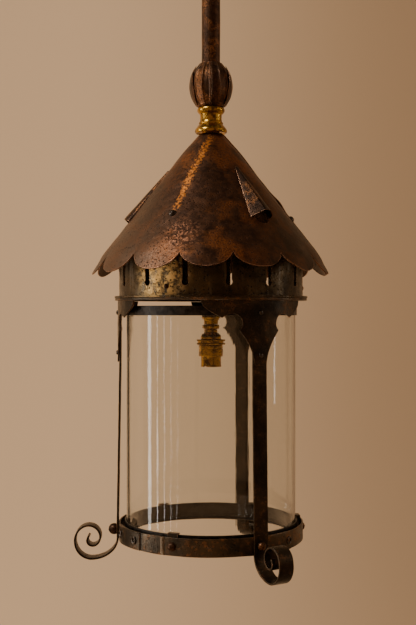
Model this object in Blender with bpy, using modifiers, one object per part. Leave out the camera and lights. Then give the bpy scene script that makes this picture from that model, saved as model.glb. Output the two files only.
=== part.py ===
"""Hanging lantern on a jointed rod, with a scalloped copper roof and a glass cylinder.

The frame's Z axis is the lantern's axis and its origin is the middle of the ceiling plate's top
face, so every level below the ceiling is negative. An azimuth is counted from the front, -Y,
towards +X. Profiles are in millimetres, as (radius, height above the piece's own level).
"""

from math import acos, atan2, cos, degrees, pi, radians, sin, sqrt

import bmesh
import bpy
from mathutils import Matrix, Vector

MM = 0.001
GAP = 0.3 * MM            # air between two pieces that rest on each other
WELD = 0.00001            # distance below which points are one point
RING_STEPS = 48           # facets round a large ring
TURNED_STEPS = 20         # facets round a small turned piece

# Levels down the axis.
PIVOT_LEVEL = -0.030      # both axes of the ceiling gimbal
ROD_TOP = -0.0543
KNOP_TOP = -0.162
COLLAR_TOP = -0.221
EYE_LEVEL = -0.500        # the roof, frame and lampholder are measured from here
RIM_LEVEL = EYE_LEVEL + 22 * MM       # top of the rim flange
FRAME_LEVEL = EYE_LEVEL + 16 * MM     # underside of the frame flange
BAND_TOP = EYE_LEVEL - 281.5 * MM
BAND_HEIGHT = 23.1 * MM

# Radii of the frame.
GALLERY_RADIUS = 124.2 * MM
SHEET = 2.0 * MM          # wall of the gallery, the band and the inner tabs
ROOF_SHEET = 1.5 * MM
GLASS_RADIUS = 114.5 * MM
GLASS_WALL = 3.0 * MM
BAND_RADIUS = 124.4 * MM

# What repeats round the axis, as azimuths in degrees.
LOBES = 14
LOBE_ANGLE = 360 / LOBES
FIRST_CUSP = 10.4
LEG_AZIMUTHS = (29.6, 157.8, 272)
VENTS = ((35, 15), (157, 12), (275, 8))      # azimuth, and height of the ridge over the mouth
ROOF_RIVET_AZIMUTHS = (-27, 93, 213)
CLIP_AZIMUTHS = (-23.5, 96, 216)
BUD_LEAF_AZIMUTHS = (-90, 90)

# The roof's outer surface from the apex to the cusps, then down to a lobe's tip.
ROOF_PROFILE = ((5.8, 241), (14.3, 241), (43.5, 207), (81, 158), (111, 120), (134, 91), (146.5, 74))
LOBE_TIP = (159.3, 50)
TRIMMED_SIDE = 6                     # azimuth where the lobes were cut shortest
TRIM = 0.29                          # share of a lobe's reach that is missing there
ROOF_SLOPE = radians(51.7)           # below level, over the rivets and the vents

# The knop's outer surface, from the rod down to the collar.
KNOP_PROFILE = ((13.9, 0), (16.5, -4), (21.3, -11), (24.6, -19), (26.3, -31), (25.0, -41),
                (22.2, -49), (16.4, -58.5))
KNOP_FLUTES = 14
KNOP_WALL = 1.0 * MM

LEG_WIDTH = 20.4 * MM
LEG_THICKNESS = 2.6 * MM
LEG_TOP_RADIUS = 122.8 * MM          # centre line behind the bracket
LEG_FOOT_RADIUS = 126.1 * MM         # centre line over the band
BRACKET_RADIUS = 124.8 * MM          # inner face
BRACKET_SHEET = 1.5 * MM
SCROLL_CENTRE = (162.4 * MM, EYE_LEVEL - 305 * MM)
SCROLL_RADIUS = 26.7 * MM
SCROLL_SQUEEZE = 0.95                # a scroll's width over its height
SCROLL_QUARTERS = 5
SCROLL_REACH = 5.95                  # quarter turns at which the scroll would close
LEG_BALLS = ((5.6, 6), (6, 7), (7.5, 11.2))   # radius and height of the rivet heads on the legs

COLOURS = {
    "aged_copper": ((0.16, 0.075, 0.04), 0.45, 1.0),
    "dark_bronze": ((0.09, 0.06, 0.035), 0.45, 1.0),
    "gallery_bronze": ((0.20, 0.14, 0.06), 0.4, 1.0),
    "brass": ((0.55, 0.38, 0.12), 0.25, 1.0),
    "black_steel": ((0.03, 0.027, 0.025), 0.5, 1.0),
    "clear_glass": ((0.95, 0.97, 0.97), 0.03, 0.0),
    "insulator": ((0.72, 0.68, 0.60), 0.4, 0.0),
}

for old_object in list(bpy.data.objects):
    bpy.data.objects.remove(old_object)

parts = bpy.data.collections.new("hanging_lantern")
cutters = bpy.data.collections.new("cutters")
bpy.context.scene.collection.children.link(parts)
bpy.context.scene.collection.children.link(cutters)


# ---- Materials and objects ----

def make_material(name):
    colour, roughness, metallic = COLOURS[name]
    material = bpy.data.materials.new(name)
    material.use_nodes = True
    shader = material.node_tree.nodes["Principled BSDF"]
    shader.inputs["Base Color"].default_value = (*colour, 1)
    shader.inputs["Roughness"].default_value = roughness
    shader.inputs["Metallic"].default_value = metallic
    return material


MATERIALS = {name: make_material(name) for name in COLOURS}


def add_piece(name, slot, mesh):
    piece = bpy.data.objects.new(name, mesh)
    mesh.materials.append(MATERIALS[slot])
    parts.objects.link(piece)
    return piece


def add_cutter(name, mesh):
    cutter = bpy.data.objects.new(name, mesh)
    cutter.hide_render = True
    cutter.display_type = "WIRE"
    cutters.objects.link(cutter)
    return cutter


def combine(piece, cutter, operation):
    modifier = piece.modifiers.new(cutter.name, "BOOLEAN")
    modifier.operation = operation
    modifier.object = cutter


def shade_round(mesh):
    mesh.shade_smooth()
    mesh.set_sharp_from_angle(angle=radians(35))


# ---- Ways of making a shape ----

def turn(azimuth):
    """The matrix that carries a piece built along +X to its azimuth."""
    return Matrix.Rotation(radians(azimuth - 90), 4, "Z")


def around(azimuth, radius, level):
    return Vector((radius * sin(radians(azimuth)), -radius * cos(radians(azimuth)), level))


def profile_mesh(name, profile, closed):
    mesh = bpy.data.meshes.new(name)
    points = [(radius * MM, 0, height * MM) for radius, height in profile]
    edges = [(i, i + 1) for i in range(len(points) - 1)]
    if closed:
        edges.append((len(points) - 1, 0))
    mesh.from_pydata(points, edges, [])
    return mesh


def turned(name, slot, level, profile, steps=TURNED_STEPS, closed=True):
    """A turned piece. A closed profile is a ring, and an open one starts and ends on the axis."""
    piece = add_piece(name, slot, profile_mesh(name, profile, closed))
    piece.location.z = level
    screw = piece.modifiers.new("turn", "SCREW")
    screw.steps = steps
    screw.render_steps = steps
    screw.use_merge_vertices = True
    screw.merge_threshold = WELD
    screw.use_smooth_shade = True
    return piece


def bent_sheet(name, slot, columns, rows, place, thickness, side):
    """A sheet of columns by rows cells with its corners at place(column, row)."""
    bm = bmesh.new()
    bmesh.ops.create_grid(bm, x_segments=columns, y_segments=rows, size=0.5)
    for vert in bm.verts:
        column = round((vert.co.x + 0.5) * columns)
        row = round((vert.co.y + 0.5) * rows)
        vert.co = place(column, row)
    bmesh.ops.remove_doubles(bm, verts=bm.verts, dist=WELD)
    mesh = bpy.data.meshes.new(name)
    bm.to_mesh(mesh)
    bm.free()
    shade_round(mesh)
    piece = add_piece(name, slot, mesh)
    solidify = piece.modifiers.new("sheet", "SOLIDIFY")
    solidify.thickness = thickness
    solidify.offset = side
    solidify.use_even_offset = True
    return piece


def flat_mesh(name, outline, thickness):
    """A flat plate in XY, centred on Z = 0, as a mesh with welded caps."""
    curve = bpy.data.curves.new(name, "CURVE")
    curve.dimensions = "2D"
    curve.fill_mode = "BOTH"
    curve.extrude = thickness / 2
    spline = curve.splines.new("POLY")
    spline.points.add(len(outline) - 1)
    for point, (x, y) in zip(spline.points, outline):
        point.co = (x, y, 0, 1)
    spline.use_cyclic_u = True
    carrier = bpy.data.objects.new(name, curve)
    cutters.objects.link(carrier)
    bpy.context.view_layer.update()
    evaluated = carrier.evaluated_get(bpy.context.evaluated_depsgraph_get())
    mesh = bpy.data.meshes.new_from_object(evaluated)
    bpy.data.objects.remove(carrier)
    bm = bmesh.new()
    bm.from_mesh(mesh)
    bmesh.ops.remove_doubles(bm, verts=bm.verts, dist=WELD)
    bm.to_mesh(mesh)
    bm.free()
    mesh.name = name
    return mesh


def strap_outline(route, thickness):
    """The outline of a bent strip, from the points of its centre line."""
    left = []
    right = []
    last = len(route) - 1
    for i, (x, y) in enumerate(route):
        before = Vector(route[max(i - 1, 0)])
        after = Vector(route[min(i + 1, last)])
        along_in = (Vector((x, y)) - before).normalized() if i > 0 else None
        along_out = (after - Vector((x, y))).normalized() if i < last else None
        along = ((along_in or along_out) + (along_out or along_in)).normalized()
        bend = along.dot(along_in or along_out)
        across = Vector((-along.y, along.x)) * (thickness / 2 / bend)
        left.append((x + across.x, y + across.y))
        right.append((x - across.x, y - across.y))
    return left + right[::-1]


def strap(name, slot, azimuth, route, thickness, width):
    """A flat strip of the given width, bent along a route of (radius, level) points."""
    mesh = flat_mesh(name, strap_outline(route, thickness), width)
    shade_round(mesh)
    piece = add_piece(name, slot, mesh)
    piece.matrix_world = turn(azimuth) @ Matrix.Rotation(radians(90), 4, "X")
    return piece


def head_profile(radius, height):
    """A dome, or most of a ball where the head is higher than its radius, from crown to foot."""
    steps = 4
    lift = max(height - radius, 0)
    sweep = acos(-lift / radius)
    angles = [sweep * i / steps for i in range(steps + 1)]
    return [(radius * sin(a), lift + (height - lift) * cos(a)) for a in angles]


def rivet(name, slot, azimuth, foot, slope, head, shank, through):
    """A headed rivet through some pieces, with a hole drilled in each of them.

    foot is the (radius, level) of the surface under the head, slope the degrees that its axis
    points above level, head its (radius, height) and shank its (radius, length), in millimetres.
    """
    shank_radius, shank_length = shank
    shank_profile = [(shank_radius, 0), (shank_radius, -shank_length), (0, -shank_length)]
    profile = head_profile(*head) + shank_profile
    piece = turned(name, slot, 0, profile, steps=8, closed=False)
    aim = Matrix.Rotation(radians(90 - slope), 4, "Y")
    stand = Matrix.Translation((foot[0], 0, foot[1])) @ aim
    piece.matrix_world = turn(azimuth) @ stand @ Matrix.Translation((0, 0, GAP))
    drill(name + "_hole", turn(azimuth) @ stand, shank_radius * MM + 0.4 * MM, 10 * MM, through)
    return piece


def drill(name, place, radius, reach, through, sides=8):
    """A round hole along Z of the place, reaching as far either way, in each piece of through."""
    bm = bmesh.new()
    bmesh.ops.create_cone(bm, cap_ends=True, segments=sides, radius1=radius, radius2=radius,
                          depth=2 * reach)
    mesh = bpy.data.meshes.new(name)
    bm.to_mesh(mesh)
    bm.free()
    cutter = add_cutter(name, mesh)
    cutter.matrix_world = place
    for piece in through:
        combine(piece, cutter, "DIFFERENCE")


# ---- Ceiling fitting ----

PLATE_RADIUS = 48
PLATE_THICKNESS = 7
FORK_INNER = 8.5          # half the space between a fork's cheeks
CHEEK = 4                 # thickness of a cheek
CHEEK_HALF_WIDTH = 7
TRUNNION_RADIUS = 3


def make_ceiling_plate():
    profile = ((0, 0), (PLATE_RADIUS, 0), (PLATE_RADIUS, -3), (PLATE_RADIUS - 6, -PLATE_THICKNESS),
               (0, -PLATE_THICKNESS))
    plate = turned("ceiling_plate", "dark_bronze", 0, profile, steps=40, closed=False)
    for i in range(3):
        place = Matrix.Translation(around(60 + 120 * i, 36 * MM, 0))
        drill(f"plate_screw_hole_{i + 1}", place, 2.6 * MM, 20 * MM, [plate], sides=12)
    cable_place = Matrix.Translation(around(0, 30 * MM, 0))
    drill("plate_cable_hole", cable_place, 5 * MM, 20 * MM, [plate], sides=12)
    return plate


def add_cheeks(fork, name, base_level, spin):
    """Join two round-ended cheeks to a fork's base, and drill the trunnion's hole."""
    base = base_level - PIVOT_LEVEL
    up = 1 if base > 0 else -1
    width = CHEEK_HALF_WIDTH * MM
    arc = [(width * cos(pi * i / 8), -up * width * sin(pi * i / 8)) for i in range(9)]
    outline = arc + [(-width, base), (width, base)]
    for side in (-1, 1):
        cheek = add_cutter(f"{name}_cheek_{side}", flat_mesh(name, outline, CHEEK * MM))
        offset = side * (FORK_INNER + CHEEK / 2) * MM
        cheek.matrix_world = (Matrix.Translation((0, 0, PIVOT_LEVEL)) @ spin
                              @ Matrix.Translation((offset, 0, 0))
                              @ Matrix.Rotation(radians(90), 4, "Z")
                              @ Matrix.Rotation(radians(90), 4, "X"))
        combine(fork, cheek, "UNION")
    hole_place = Matrix.Translation((0, 0, PIVOT_LEVEL)) @ spin @ Matrix.Rotation(radians(90), 4, "Y")
    drill(name + "_hole", hole_place, (TRUNNION_RADIUS + 0.35) * MM, 20 * MM, [fork], sides=16)


def make_ceiling_fork():
    top = -PLATE_THICKNESS * MM - GAP
    thickness = 6
    profile = ((0, 0), (15, 0), (15, -thickness), (0, -thickness))
    fork = turned("ceiling_fork", "dark_bronze", top, profile, closed=False)
    add_cheeks(fork, "ceiling_fork", top - 3 * MM, Matrix.Identity(4))
    return fork


def make_gimbal_cross():
    bm = bmesh.new()
    bmesh.ops.create_cube(bm, size=2 * CHEEK_HALF_WIDTH * MM)
    mesh = bpy.data.meshes.new("gimbal_cross")
    bm.to_mesh(mesh)
    bm.free()
    cross = add_piece("gimbal_cross", "black_steel", mesh)
    cross.location.z = PIVOT_LEVEL
    reach = FORK_INNER + CHEEK - 0.3
    for axis in ("X", "Y"):
        bm = bmesh.new()
        bmesh.ops.create_cone(bm, cap_ends=True, segments=16, radius1=TRUNNION_RADIUS * MM,
                              radius2=TRUNNION_RADIUS * MM, depth=2 * reach * MM)
        trunnion_mesh = bpy.data.meshes.new("trunnion_" + axis)
        bm.to_mesh(trunnion_mesh)
        bm.free()
        trunnion = add_cutter("trunnion_" + axis, trunnion_mesh)
        other = "Y" if axis == "X" else "X"
        trunnion.matrix_world = (Matrix.Translation((0, 0, PIVOT_LEVEL))
                                 @ Matrix.Rotation(radians(90), 4, other))
        combine(cross, trunnion, "UNION")
    return cross


ROD_RADIUS = 12.5
ROD_BORE = 9.0


def make_rod_fork():
    base_top = PIVOT_LEVEL - 18 * MM
    base = (ROD_TOP + GAP - base_top) / MM
    spigot = ROD_BORE - 0.4
    profile = ((ROD_RADIUS, 0), (ROD_RADIUS, base), (spigot, base), (spigot, base - 12),
               (4, base - 12), (4, 0))
    fork = turned("rod_fork", "dark_bronze", base_top, profile)
    add_cheeks(fork, "rod_fork", base_top - 3 * MM, Matrix.Rotation(radians(90), 4, "Z"))
    return fork


def make_rod():
    length = (ROD_TOP - COLLAR_TOP) / MM - 0.3
    profile = ((ROD_RADIUS, 0), (ROD_RADIUS, -length), (ROD_BORE, -length), (ROD_BORE, 0))
    return turned("suspension_rod", "aged_copper", ROD_TOP, profile, steps=24)


# ---- Leaf knop and collar ----

def read_profile(profile, fraction):
    """The (radius, height) at a fraction of the way along a profile's points."""
    place = fraction * (len(profile) - 1)
    i = min(int(place), len(profile) - 2)
    blend = place - i
    return tuple(a + (b - a) * blend for a, b in zip(profile[i], profile[i + 1]))


def make_knop_half(name, start):
    columns = KNOP_FLUTES
    rows = len(KNOP_PROFILE) - 1
    seam = 0.8
    span = 180 - 2 * seam

    def place(column, row):
        radius, height = KNOP_PROFILE[row]
        flute = 0.7 * sin(pi * row / rows) * (1 if column % 2 else -1)
        azimuth = start + seam + span * column / columns
        return around(azimuth, (radius + flute) * MM, KNOP_TOP + height * MM)

    return bent_sheet(name, "aged_copper", columns, rows, place, KNOP_WALL, side=1)


def make_bud_leaf(name, middle):
    """A pointed leaf that lies on the knop's outside, with its tip standing off near the top."""
    columns = 6
    rows = 7
    half_angle = 40
    lift = 1.7

    def place(column, row):
        rise = row / rows
        radius, height = read_profile(KNOP_PROFILE, 0.97 - 0.84 * rise)
        width = half_angle * (1 - rise ** 2.2) * (0.55 + 0.45 * sin(pi * rise))
        azimuth = middle + (2 * column / columns - 1) * max(width, 2)
        stand_off = lift + 1.0 * rise ** 4
        return around(azimuth, (radius + stand_off) * MM, KNOP_TOP + height * MM)

    return bent_sheet(name, "aged_copper", columns, rows, place, 0.9 * MM, side=1)


def make_collar():
    bore = 5.6
    profile = ((15.8, 0), (18.4, -3), (18.6, -6), (16.6, -10), (14.9, -17), (15.3, -22),
               (18.6, -27), (21.8, -31), (21.7, -34), (20.3, -36), (17.5, -33.5), (12, -33.5),
               (12, -37.7), (bore, -37.7), (bore, 0))
    return turned("collar", "brass", COLLAR_TOP, profile, steps=24)


def make_stem():
    """The tube that carries the roof on its shoulder and the lampholder on its lower end."""
    shoulder_top = 239.2
    profile = ((5.2, 300), (5.2, shoulder_top), (11, shoulder_top), (11, shoulder_top - 3),
               (5.2, shoulder_top - 3), (5.2, -27), (3.6, -27), (3.6, 300))
    return turned("stem", "brass", EYE_LEVEL, profile, steps=16)


# ---- Roof ----

def lobe_fraction(across):
    """How far a lobe reaches below the cusps: 0 at a cusp, across -1 or 1, and 1 at its tip, 0."""
    half_width = 34
    depth = 25
    arc_radius = (half_width ** 2 + depth ** 2) / (2 * depth)
    return (sqrt(arc_radius ** 2 - (half_width * across) ** 2) - arc_radius + depth) / depth


def lobe_scale(azimuth):
    """The share of its full reach that a lobe has, which is least on the trimmed side."""
    return 1 - TRIM * max(cos(radians(azimuth - TRIMMED_SIDE)), 0) ** 3


def make_roof():
    per_lobe = 4
    columns = LOBES * per_lobe
    rows = len(ROOF_PROFILE)
    cusp_radius, cusp_height = ROOF_PROFILE[-1]

    def place(column, row):
        azimuth = FIRST_CUSP + LOBE_ANGLE * column / per_lobe
        if row < rows:
            radius, height = ROOF_PROFILE[row]
        else:
            reach = lobe_fraction(2 * (column % per_lobe) / per_lobe - 1) * lobe_scale(azimuth)
            radius = cusp_radius + (LOBE_TIP[0] - cusp_radius) * reach
            height = cusp_height + (LOBE_TIP[1] - cusp_height) * reach
        return around(azimuth, radius * MM, EYE_LEVEL + height * MM)

    return bent_sheet("roof", "aged_copper", columns, rows, place, ROOF_SHEET, side=1)


def roof_level(radius):
    """The level of the roof's outer surface at a radius, both in metres."""
    for (r1, h1), (r2, h2) in zip(ROOF_PROFILE[1:], ROOF_PROFILE[2:]):
        if radius <= r2 * MM:
            break
    return EYE_LEVEL + (h1 + (h2 - h1) * (radius / MM - r1) / (r2 - r1)) * MM


def roof_frame(azimuth, radius):
    """X down the roof's slope, Z straight out of it, with the origin on its outer surface."""
    step = 5 * MM
    drop = roof_level(radius) - roof_level(radius + step)
    slope = Matrix.Rotation(atan2(drop, step), 4, "Y")
    return turn(azimuth) @ Matrix.Translation((radius, 0, roof_level(radius))) @ slope


VENT_RADIUS = 56.5 * MM   # from the axis to the hood's closed end
VENT_LENGTH = 88 * MM
VENT_MOUTH = 15.5 * MM    # half the width of the open end
VENT_WALL = 1.2 * MM
VENT_HOLE_START = 30 * MM            # down the slope from the hood's closed end
VENT_HOLE_END = 99 * MM
VENT_HOLE_HALF_WIDTH = 11 * MM


def make_vent(name, azimuth, ridge, roof):
    """A rolled half funnel, open down the slope, over a round-ended hole in the roof."""
    columns = 8
    rows = 3
    point = 1.5 * MM

    def place(column, row):
        angle = pi * column / columns
        down = row / rows
        half_width = point + (VENT_MOUTH - point) * down
        rise = (point + (ridge * MM - point) * down) * sin(angle)
        return Vector((VENT_LENGTH * down, half_width * cos(angle), rise + 1.2 * MM))

    hood = bent_sheet(name, "aged_copper", columns, rows, place, VENT_WALL, side=-1)
    hood.matrix_world = roof_frame(azimuth, VENT_RADIUS)
    cut_vent_hole(name + "_hole", roof_frame(azimuth, VENT_RADIUS), roof)
    return hood


def cut_vent_hole(name, place, roof):
    """A round-ended slot along the X of the place, cut through Z."""
    start = VENT_HOLE_START
    end = VENT_HOLE_END
    half_width = VENT_HOLE_HALF_WIDTH
    turns = [pi / 2 + pi * i / 6 for i in range(7)]
    outline = [(start + half_width * (1 + cos(a)), half_width * sin(a)) for a in turns]
    outline += [(end - half_width * (1 + cos(a)), -half_width * sin(a)) for a in turns]
    cutter = add_cutter(name, flat_mesh(name, outline, 16 * MM))
    cutter.matrix_world = place
    combine(roof, cutter, "DIFFERENCE")


TAB_WIDTH = 12 * MM


def make_roof_tab(name, azimuth):
    """An inner strap from the roof's underside down the inside of the gallery."""
    inset = ROOF_SHEET + SHEET / 2 + 0.4 * MM
    wall = GALLERY_RADIUS - SHEET - 0.8 * MM - SHEET / 2
    run = inset * sin(ROOF_SLOPE)
    fall = inset * cos(ROOF_SLOPE)
    top_radius = 98 * MM
    bend_radius = wall + run
    route = ((top_radius - run, roof_level(top_radius) - fall),
             (wall, roof_level(bend_radius) - fall),
             (wall, EYE_LEVEL + 26 * MM))
    return strap(name, "dark_bronze", azimuth, route, SHEET, TAB_WIDTH)


# ---- Gallery and frame ----

SLOT_BOTTOM = 34
SLOT_TOP = 84
SLOT_HALF_WIDTH = 3.7
SLOT_BULB = 4.6


def make_gallery():
    outer = GALLERY_RADIUS / MM
    inner = outer - SHEET / MM
    flange = 130.5
    profile = ((outer, 73), (outer, 0), (flange, 0), (flange, -2.8), (inner, -2.8), (inner, 73))
    gallery = turned("gallery", "gallery_bronze", RIM_LEVEL, profile, steps=RING_STEPS)
    for i in range(LOBES):
        cut_keyhole(gallery, f"gallery_slot_{i + 1}", FIRST_CUSP + LOBE_ANGLE * i)
    return gallery


def cut_keyhole(gallery, name, azimuth):
    """A tall slot with a round bulb at its foot and a round top."""
    shoulder = sqrt(SLOT_BULB ** 2 - SLOT_HALF_WIDTH ** 2)
    bulb_level = SLOT_BOTTOM + SLOT_BULB
    start = atan2(shoulder, SLOT_HALF_WIDTH)
    sweep = pi + 2 * start
    outline = [(SLOT_BULB * cos(start - sweep * i / 8), bulb_level + SLOT_BULB * sin(start - sweep * i / 8))
               for i in range(9)]
    outline += [(-SLOT_HALF_WIDTH * cos(pi * i / 4), SLOT_TOP - SLOT_HALF_WIDTH
                 + SLOT_HALF_WIDTH * sin(pi * i / 4)) for i in range(5)]
    scaled = [(x * MM, y * MM) for x, y in outline]
    cutter = add_cutter(name, flat_mesh(name, scaled, 12 * MM))
    stand = Matrix.Translation((GALLERY_RADIUS, 0, EYE_LEVEL)) @ Matrix.Rotation(radians(90), 4, "Z")
    cutter.matrix_world = turn(azimuth) @ stand @ Matrix.Rotation(radians(90), 4, "X")
    combine(gallery, cutter, "DIFFERENCE")


def make_frame_flange():
    profile = ((130, 2.9), (130, 0), (120, 0), (120, 2.9))
    return turned("frame_flange", "dark_bronze", FRAME_LEVEL, profile, steps=RING_STEPS)


# A spandrel plate's right edge, as (degrees from its leg, millimetres below the flange).
BRACKET_EDGE = ((3.8, 82), (5.1, 68), (7.1, 58), (9.6, 48.5), (13.2, 38.3), (11.8, 34), (11.3, 29.5),
                (12.2, 23), (13.9, 19.2), (16.5, 17.2), (19.8, 17.6), (23.5, 22.3), (28.6, 16.2),
                (32, 11.5), (34.3, 7), (35.3, 1.2))


def make_bracket(name, azimuth):
    """A plate bent round the drum's line and cut to the spandrel's outline."""
    columns = 33
    spare = 3
    widest, deepest = BRACKET_EDGE[-1][0] + spare, BRACKET_EDGE[0][1] + spare
    top = FRAME_LEVEL - GAP

    def place(column, row):
        offset = widest * (2 * column / columns - 1)
        return around(azimuth + offset, BRACKET_RADIUS, top - deepest * MM * (1 - row))

    plate = bent_sheet(name, "dark_bronze", columns, 1, place, BRACKET_SHEET, side=1)
    radius = BRACKET_RADIUS + BRACKET_SHEET / 2
    right = [(radius * sin(radians(offset)), -drop * MM) for offset, drop in BRACKET_EDGE]
    left = [(-x, y) for x, y in reversed(right)]
    over = 5 * MM
    outline = right + [(right[-1][0], over), (left[0][0], over)] + left
    cutter = add_cutter(name + "_outline", flat_mesh(name + "_outline", outline, 120 * MM))
    stand = Matrix.Translation((radius, 0, top)) @ Matrix.Rotation(radians(90), 4, "Z")
    cutter.matrix_world = turn(azimuth) @ stand @ Matrix.Rotation(radians(90), 4, "X")
    combine(plate, cutter, "INTERSECT")
    return plate


def leg_route():
    """A leg's centre line: straight behind the bracket, splayed to the band, then a scroll."""
    foot_level = EYE_LEVEL - 303.5 * MM
    centre_radius, centre_level = SCROLL_CENTRE
    route = [(LEG_TOP_RADIUS, FRAME_LEVEL - GAP), (LEG_TOP_RADIUS, FRAME_LEVEL - 86 * MM),
             (LEG_FOOT_RADIUS, BAND_TOP + 6 * MM)]
    sweep = 6
    for i in range(sweep):
        angle = pi / 2 * i / sweep
        across = (centre_radius - LEG_FOOT_RADIUS) * cos(angle)
        down = (SCROLL_RADIUS + foot_level - centre_level) * sin(angle)
        route.append((centre_radius - across, foot_level - down))
    per_quarter = 5
    for i in range(SCROLL_QUARTERS * per_quarter + 1):
        quarters = i / per_quarter
        radius = SCROLL_RADIUS * (1 - quarters / SCROLL_REACH)
        angle = pi / 2 * (quarters - 1)
        route.append((centre_radius + SCROLL_SQUEEZE * radius * cos(angle),
                      centre_level + radius * sin(angle)))
    end_radius, end_level = route[-1]
    route.append((end_radius - 2 * MM, end_level + 4 * MM))
    return route


def make_leg(name, azimuth):
    return strap(name, "dark_bronze", azimuth, leg_route(), LEG_THICKNESS, LEG_WIDTH)


def make_band():
    outer = BAND_RADIUS / MM
    inner = outer - SHEET / MM
    height = BAND_HEIGHT / MM
    profile = ((outer, 0), (outer, -height), (inner, -height), (inner, 0))
    return turned("lower_band", "dark_bronze", BAND_TOP, profile, steps=RING_STEPS)


# ---- Glass and what holds it ----

GLASS_BOTTOM = -298.4
GLASS_TOP = 5.8


def make_glass():
    outer = GLASS_RADIUS / MM
    inner = outer - GLASS_WALL / MM
    profile = ((outer, GLASS_TOP), (outer, GLASS_BOTTOM), (inner, GLASS_BOTTOM), (inner, GLASS_TOP))
    return turned("glass_cylinder", "clear_glass", EYE_LEVEL, profile, steps=RING_STEPS)


def make_glass_top_ring():
    profile = ((116.4, 8.8), (116.4, -3.7), (114.9, -3.7), (114.9, 6.2), (108.5, 6.2), (108.5, 8.8))
    return turned("glass_top_ring", "black_steel", EYE_LEVEL, profile, steps=RING_STEPS)


def make_seat_ring():
    profile = ((116.8, -279), (116.8, -301.2), (111.5, -301.2), (111.5, -298.8), (115, -298.8), (115, -279))
    return turned("glass_seat_ring", "black_steel", EYE_LEVEL, profile, steps=RING_STEPS)


def make_clip(name, azimuth):
    """A strap inside the band that hooks over the seat ring's wall."""
    leg_radius = BAND_RADIUS - SHEET - 0.6 * MM - 0.85 * MM
    route = ((leg_radius, EYE_LEVEL - 302.5 * MM), (leg_radius, EYE_LEVEL - 277.6 * MM),
             (115.2 * MM, EYE_LEVEL - 277.6 * MM))
    return strap(name, "dark_bronze", azimuth, route, 1.7 * MM, 14 * MM)


# ---- Lampholder ----

HOLDER_BORE = 5.6
SKIRT_RADIUS = 13.5
PLUNGER_OFFSET = 4.2
PLUNGER_TRAVEL_ROOM = 3.5


def make_holder_nuts():
    entry = ((9, -2.7), (11.4, -4.2), (12, -6.6), (11.4, -9.2), (9.4, -10.6), (9.4, -16),
             (HOLDER_BORE, -16), (HOLDER_BORE, -2.7))
    lock = ((10.2, -16.3), (11.4, -18), (11.4, -20.8), (10.2, -22.5), (HOLDER_BORE, -22.5),
            (HOLDER_BORE, -16.3))
    return [turned("holder_entry_nut", "brass", EYE_LEVEL, entry),
            turned("holder_lock_nut", "brass", EYE_LEVEL, lock, steps=12)]


def make_holder_cap():
    profile = ((8.8, -22.8), (8.8, -28), (11.5, -29.6), (13.4, -32), (14, -34.6), (14, -36),
               (12.6, -36), (12.6, -34), (8, -30.8), (HOLDER_BORE, -30.4), (HOLDER_BORE, -22.8))
    return turned("holder_cap", "brass", EYE_LEVEL, profile, steps=24)


def make_shade_ring():
    profile = ((18.7, -36.6), (18.7, -43.6), (15.9, -43.6), (15.9, -36.6))
    return turned("shade_ring", "brass", EYE_LEVEL, profile, steps=24)


def make_holder_body():
    profile = ((15.5, -36.3), (15.5, -44), (16.4, -44.4), (16.4, -58.6), (15.4, -60), (13.9, -60),
               (13.9, -36.3))
    return turned("holder_body", "brass", EYE_LEVEL, profile, steps=24)


def make_holder_skirt():
    """The socket's sleeve, with two bayonet slots: up from the rim, across, and a round seat."""
    rim = -73.6
    seat = -66.5
    profile = ((SKIRT_RADIUS, -36.6), (SKIRT_RADIUS, rim), (12.2, rim), (12.2, -36.6))
    skirt = turned("holder_skirt", "brass", EYE_LEVEL, profile, steps=24)
    for side in (0, 180):
        round_end = [(2.7 * cos(pi / 2 + pi * i / 5), seat + 2.7 * sin(pi / 2 + pi * i / 5))
                     for i in range(6)]
        outline = round_end + [(3.4, seat - 2.7), (3.4, rim - 2), (6.4, rim - 2), (6.4, seat + 2.7)]
        scaled = [(-x * MM, y * MM) for x, y in reversed(outline)]
        cutter = add_cutter(f"bayonet_slot_{side}", flat_mesh("bayonet_slot", scaled, 8 * MM))
        stand = Matrix.Translation((SKIRT_RADIUS * MM, 0, EYE_LEVEL)) @ Matrix.Rotation(radians(90), 4, "Z")
        cutter.matrix_world = turn(side - 14) @ stand @ Matrix.Rotation(radians(90), 4, "X")
        combine(skirt, cutter, "DIFFERENCE")
    return skirt


def make_holder_core():
    profile = ((0, -38), (11.8, -38), (11.8, -58), (0, -58))
    core = turned("holder_core", "insulator", EYE_LEVEL, profile, closed=False)
    for side in (-1, 1):
        place = Matrix.Translation((side * PLUNGER_OFFSET * MM, 0, EYE_LEVEL - 58 * MM))
        drill(f"plunger_bore_{side}", place, 2.5 * MM, 12 * MM, [core], sides=12)
    return core


def make_plunger(name, side):
    top = 12 - PLUNGER_TRAVEL_ROOM
    profile = ((0, top), (2.1, top), (2.1, -4.5), (1.4, -5.5), (0, -5.5))
    plunger = turned(name, "brass", EYE_LEVEL - 58 * MM, profile, steps=10, closed=False)
    plunger.location.x = side * PLUNGER_OFFSET * MM
    return plunger


# ---- Assembly ----

def add_pivot(name, parent=None):
    pivot = bpy.data.objects.new(name, None)
    pivot.location.z = PIVOT_LEVEL
    parts.objects.link(pivot)
    hang(pivot, parent)
    return pivot


def hang(piece, parent):
    """Parent a piece without moving it."""
    if parent is None:
        return
    bpy.context.view_layer.update()
    piece.parent = parent
    piece.matrix_parent_inverse = parent.matrix_world.inverted()


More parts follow.
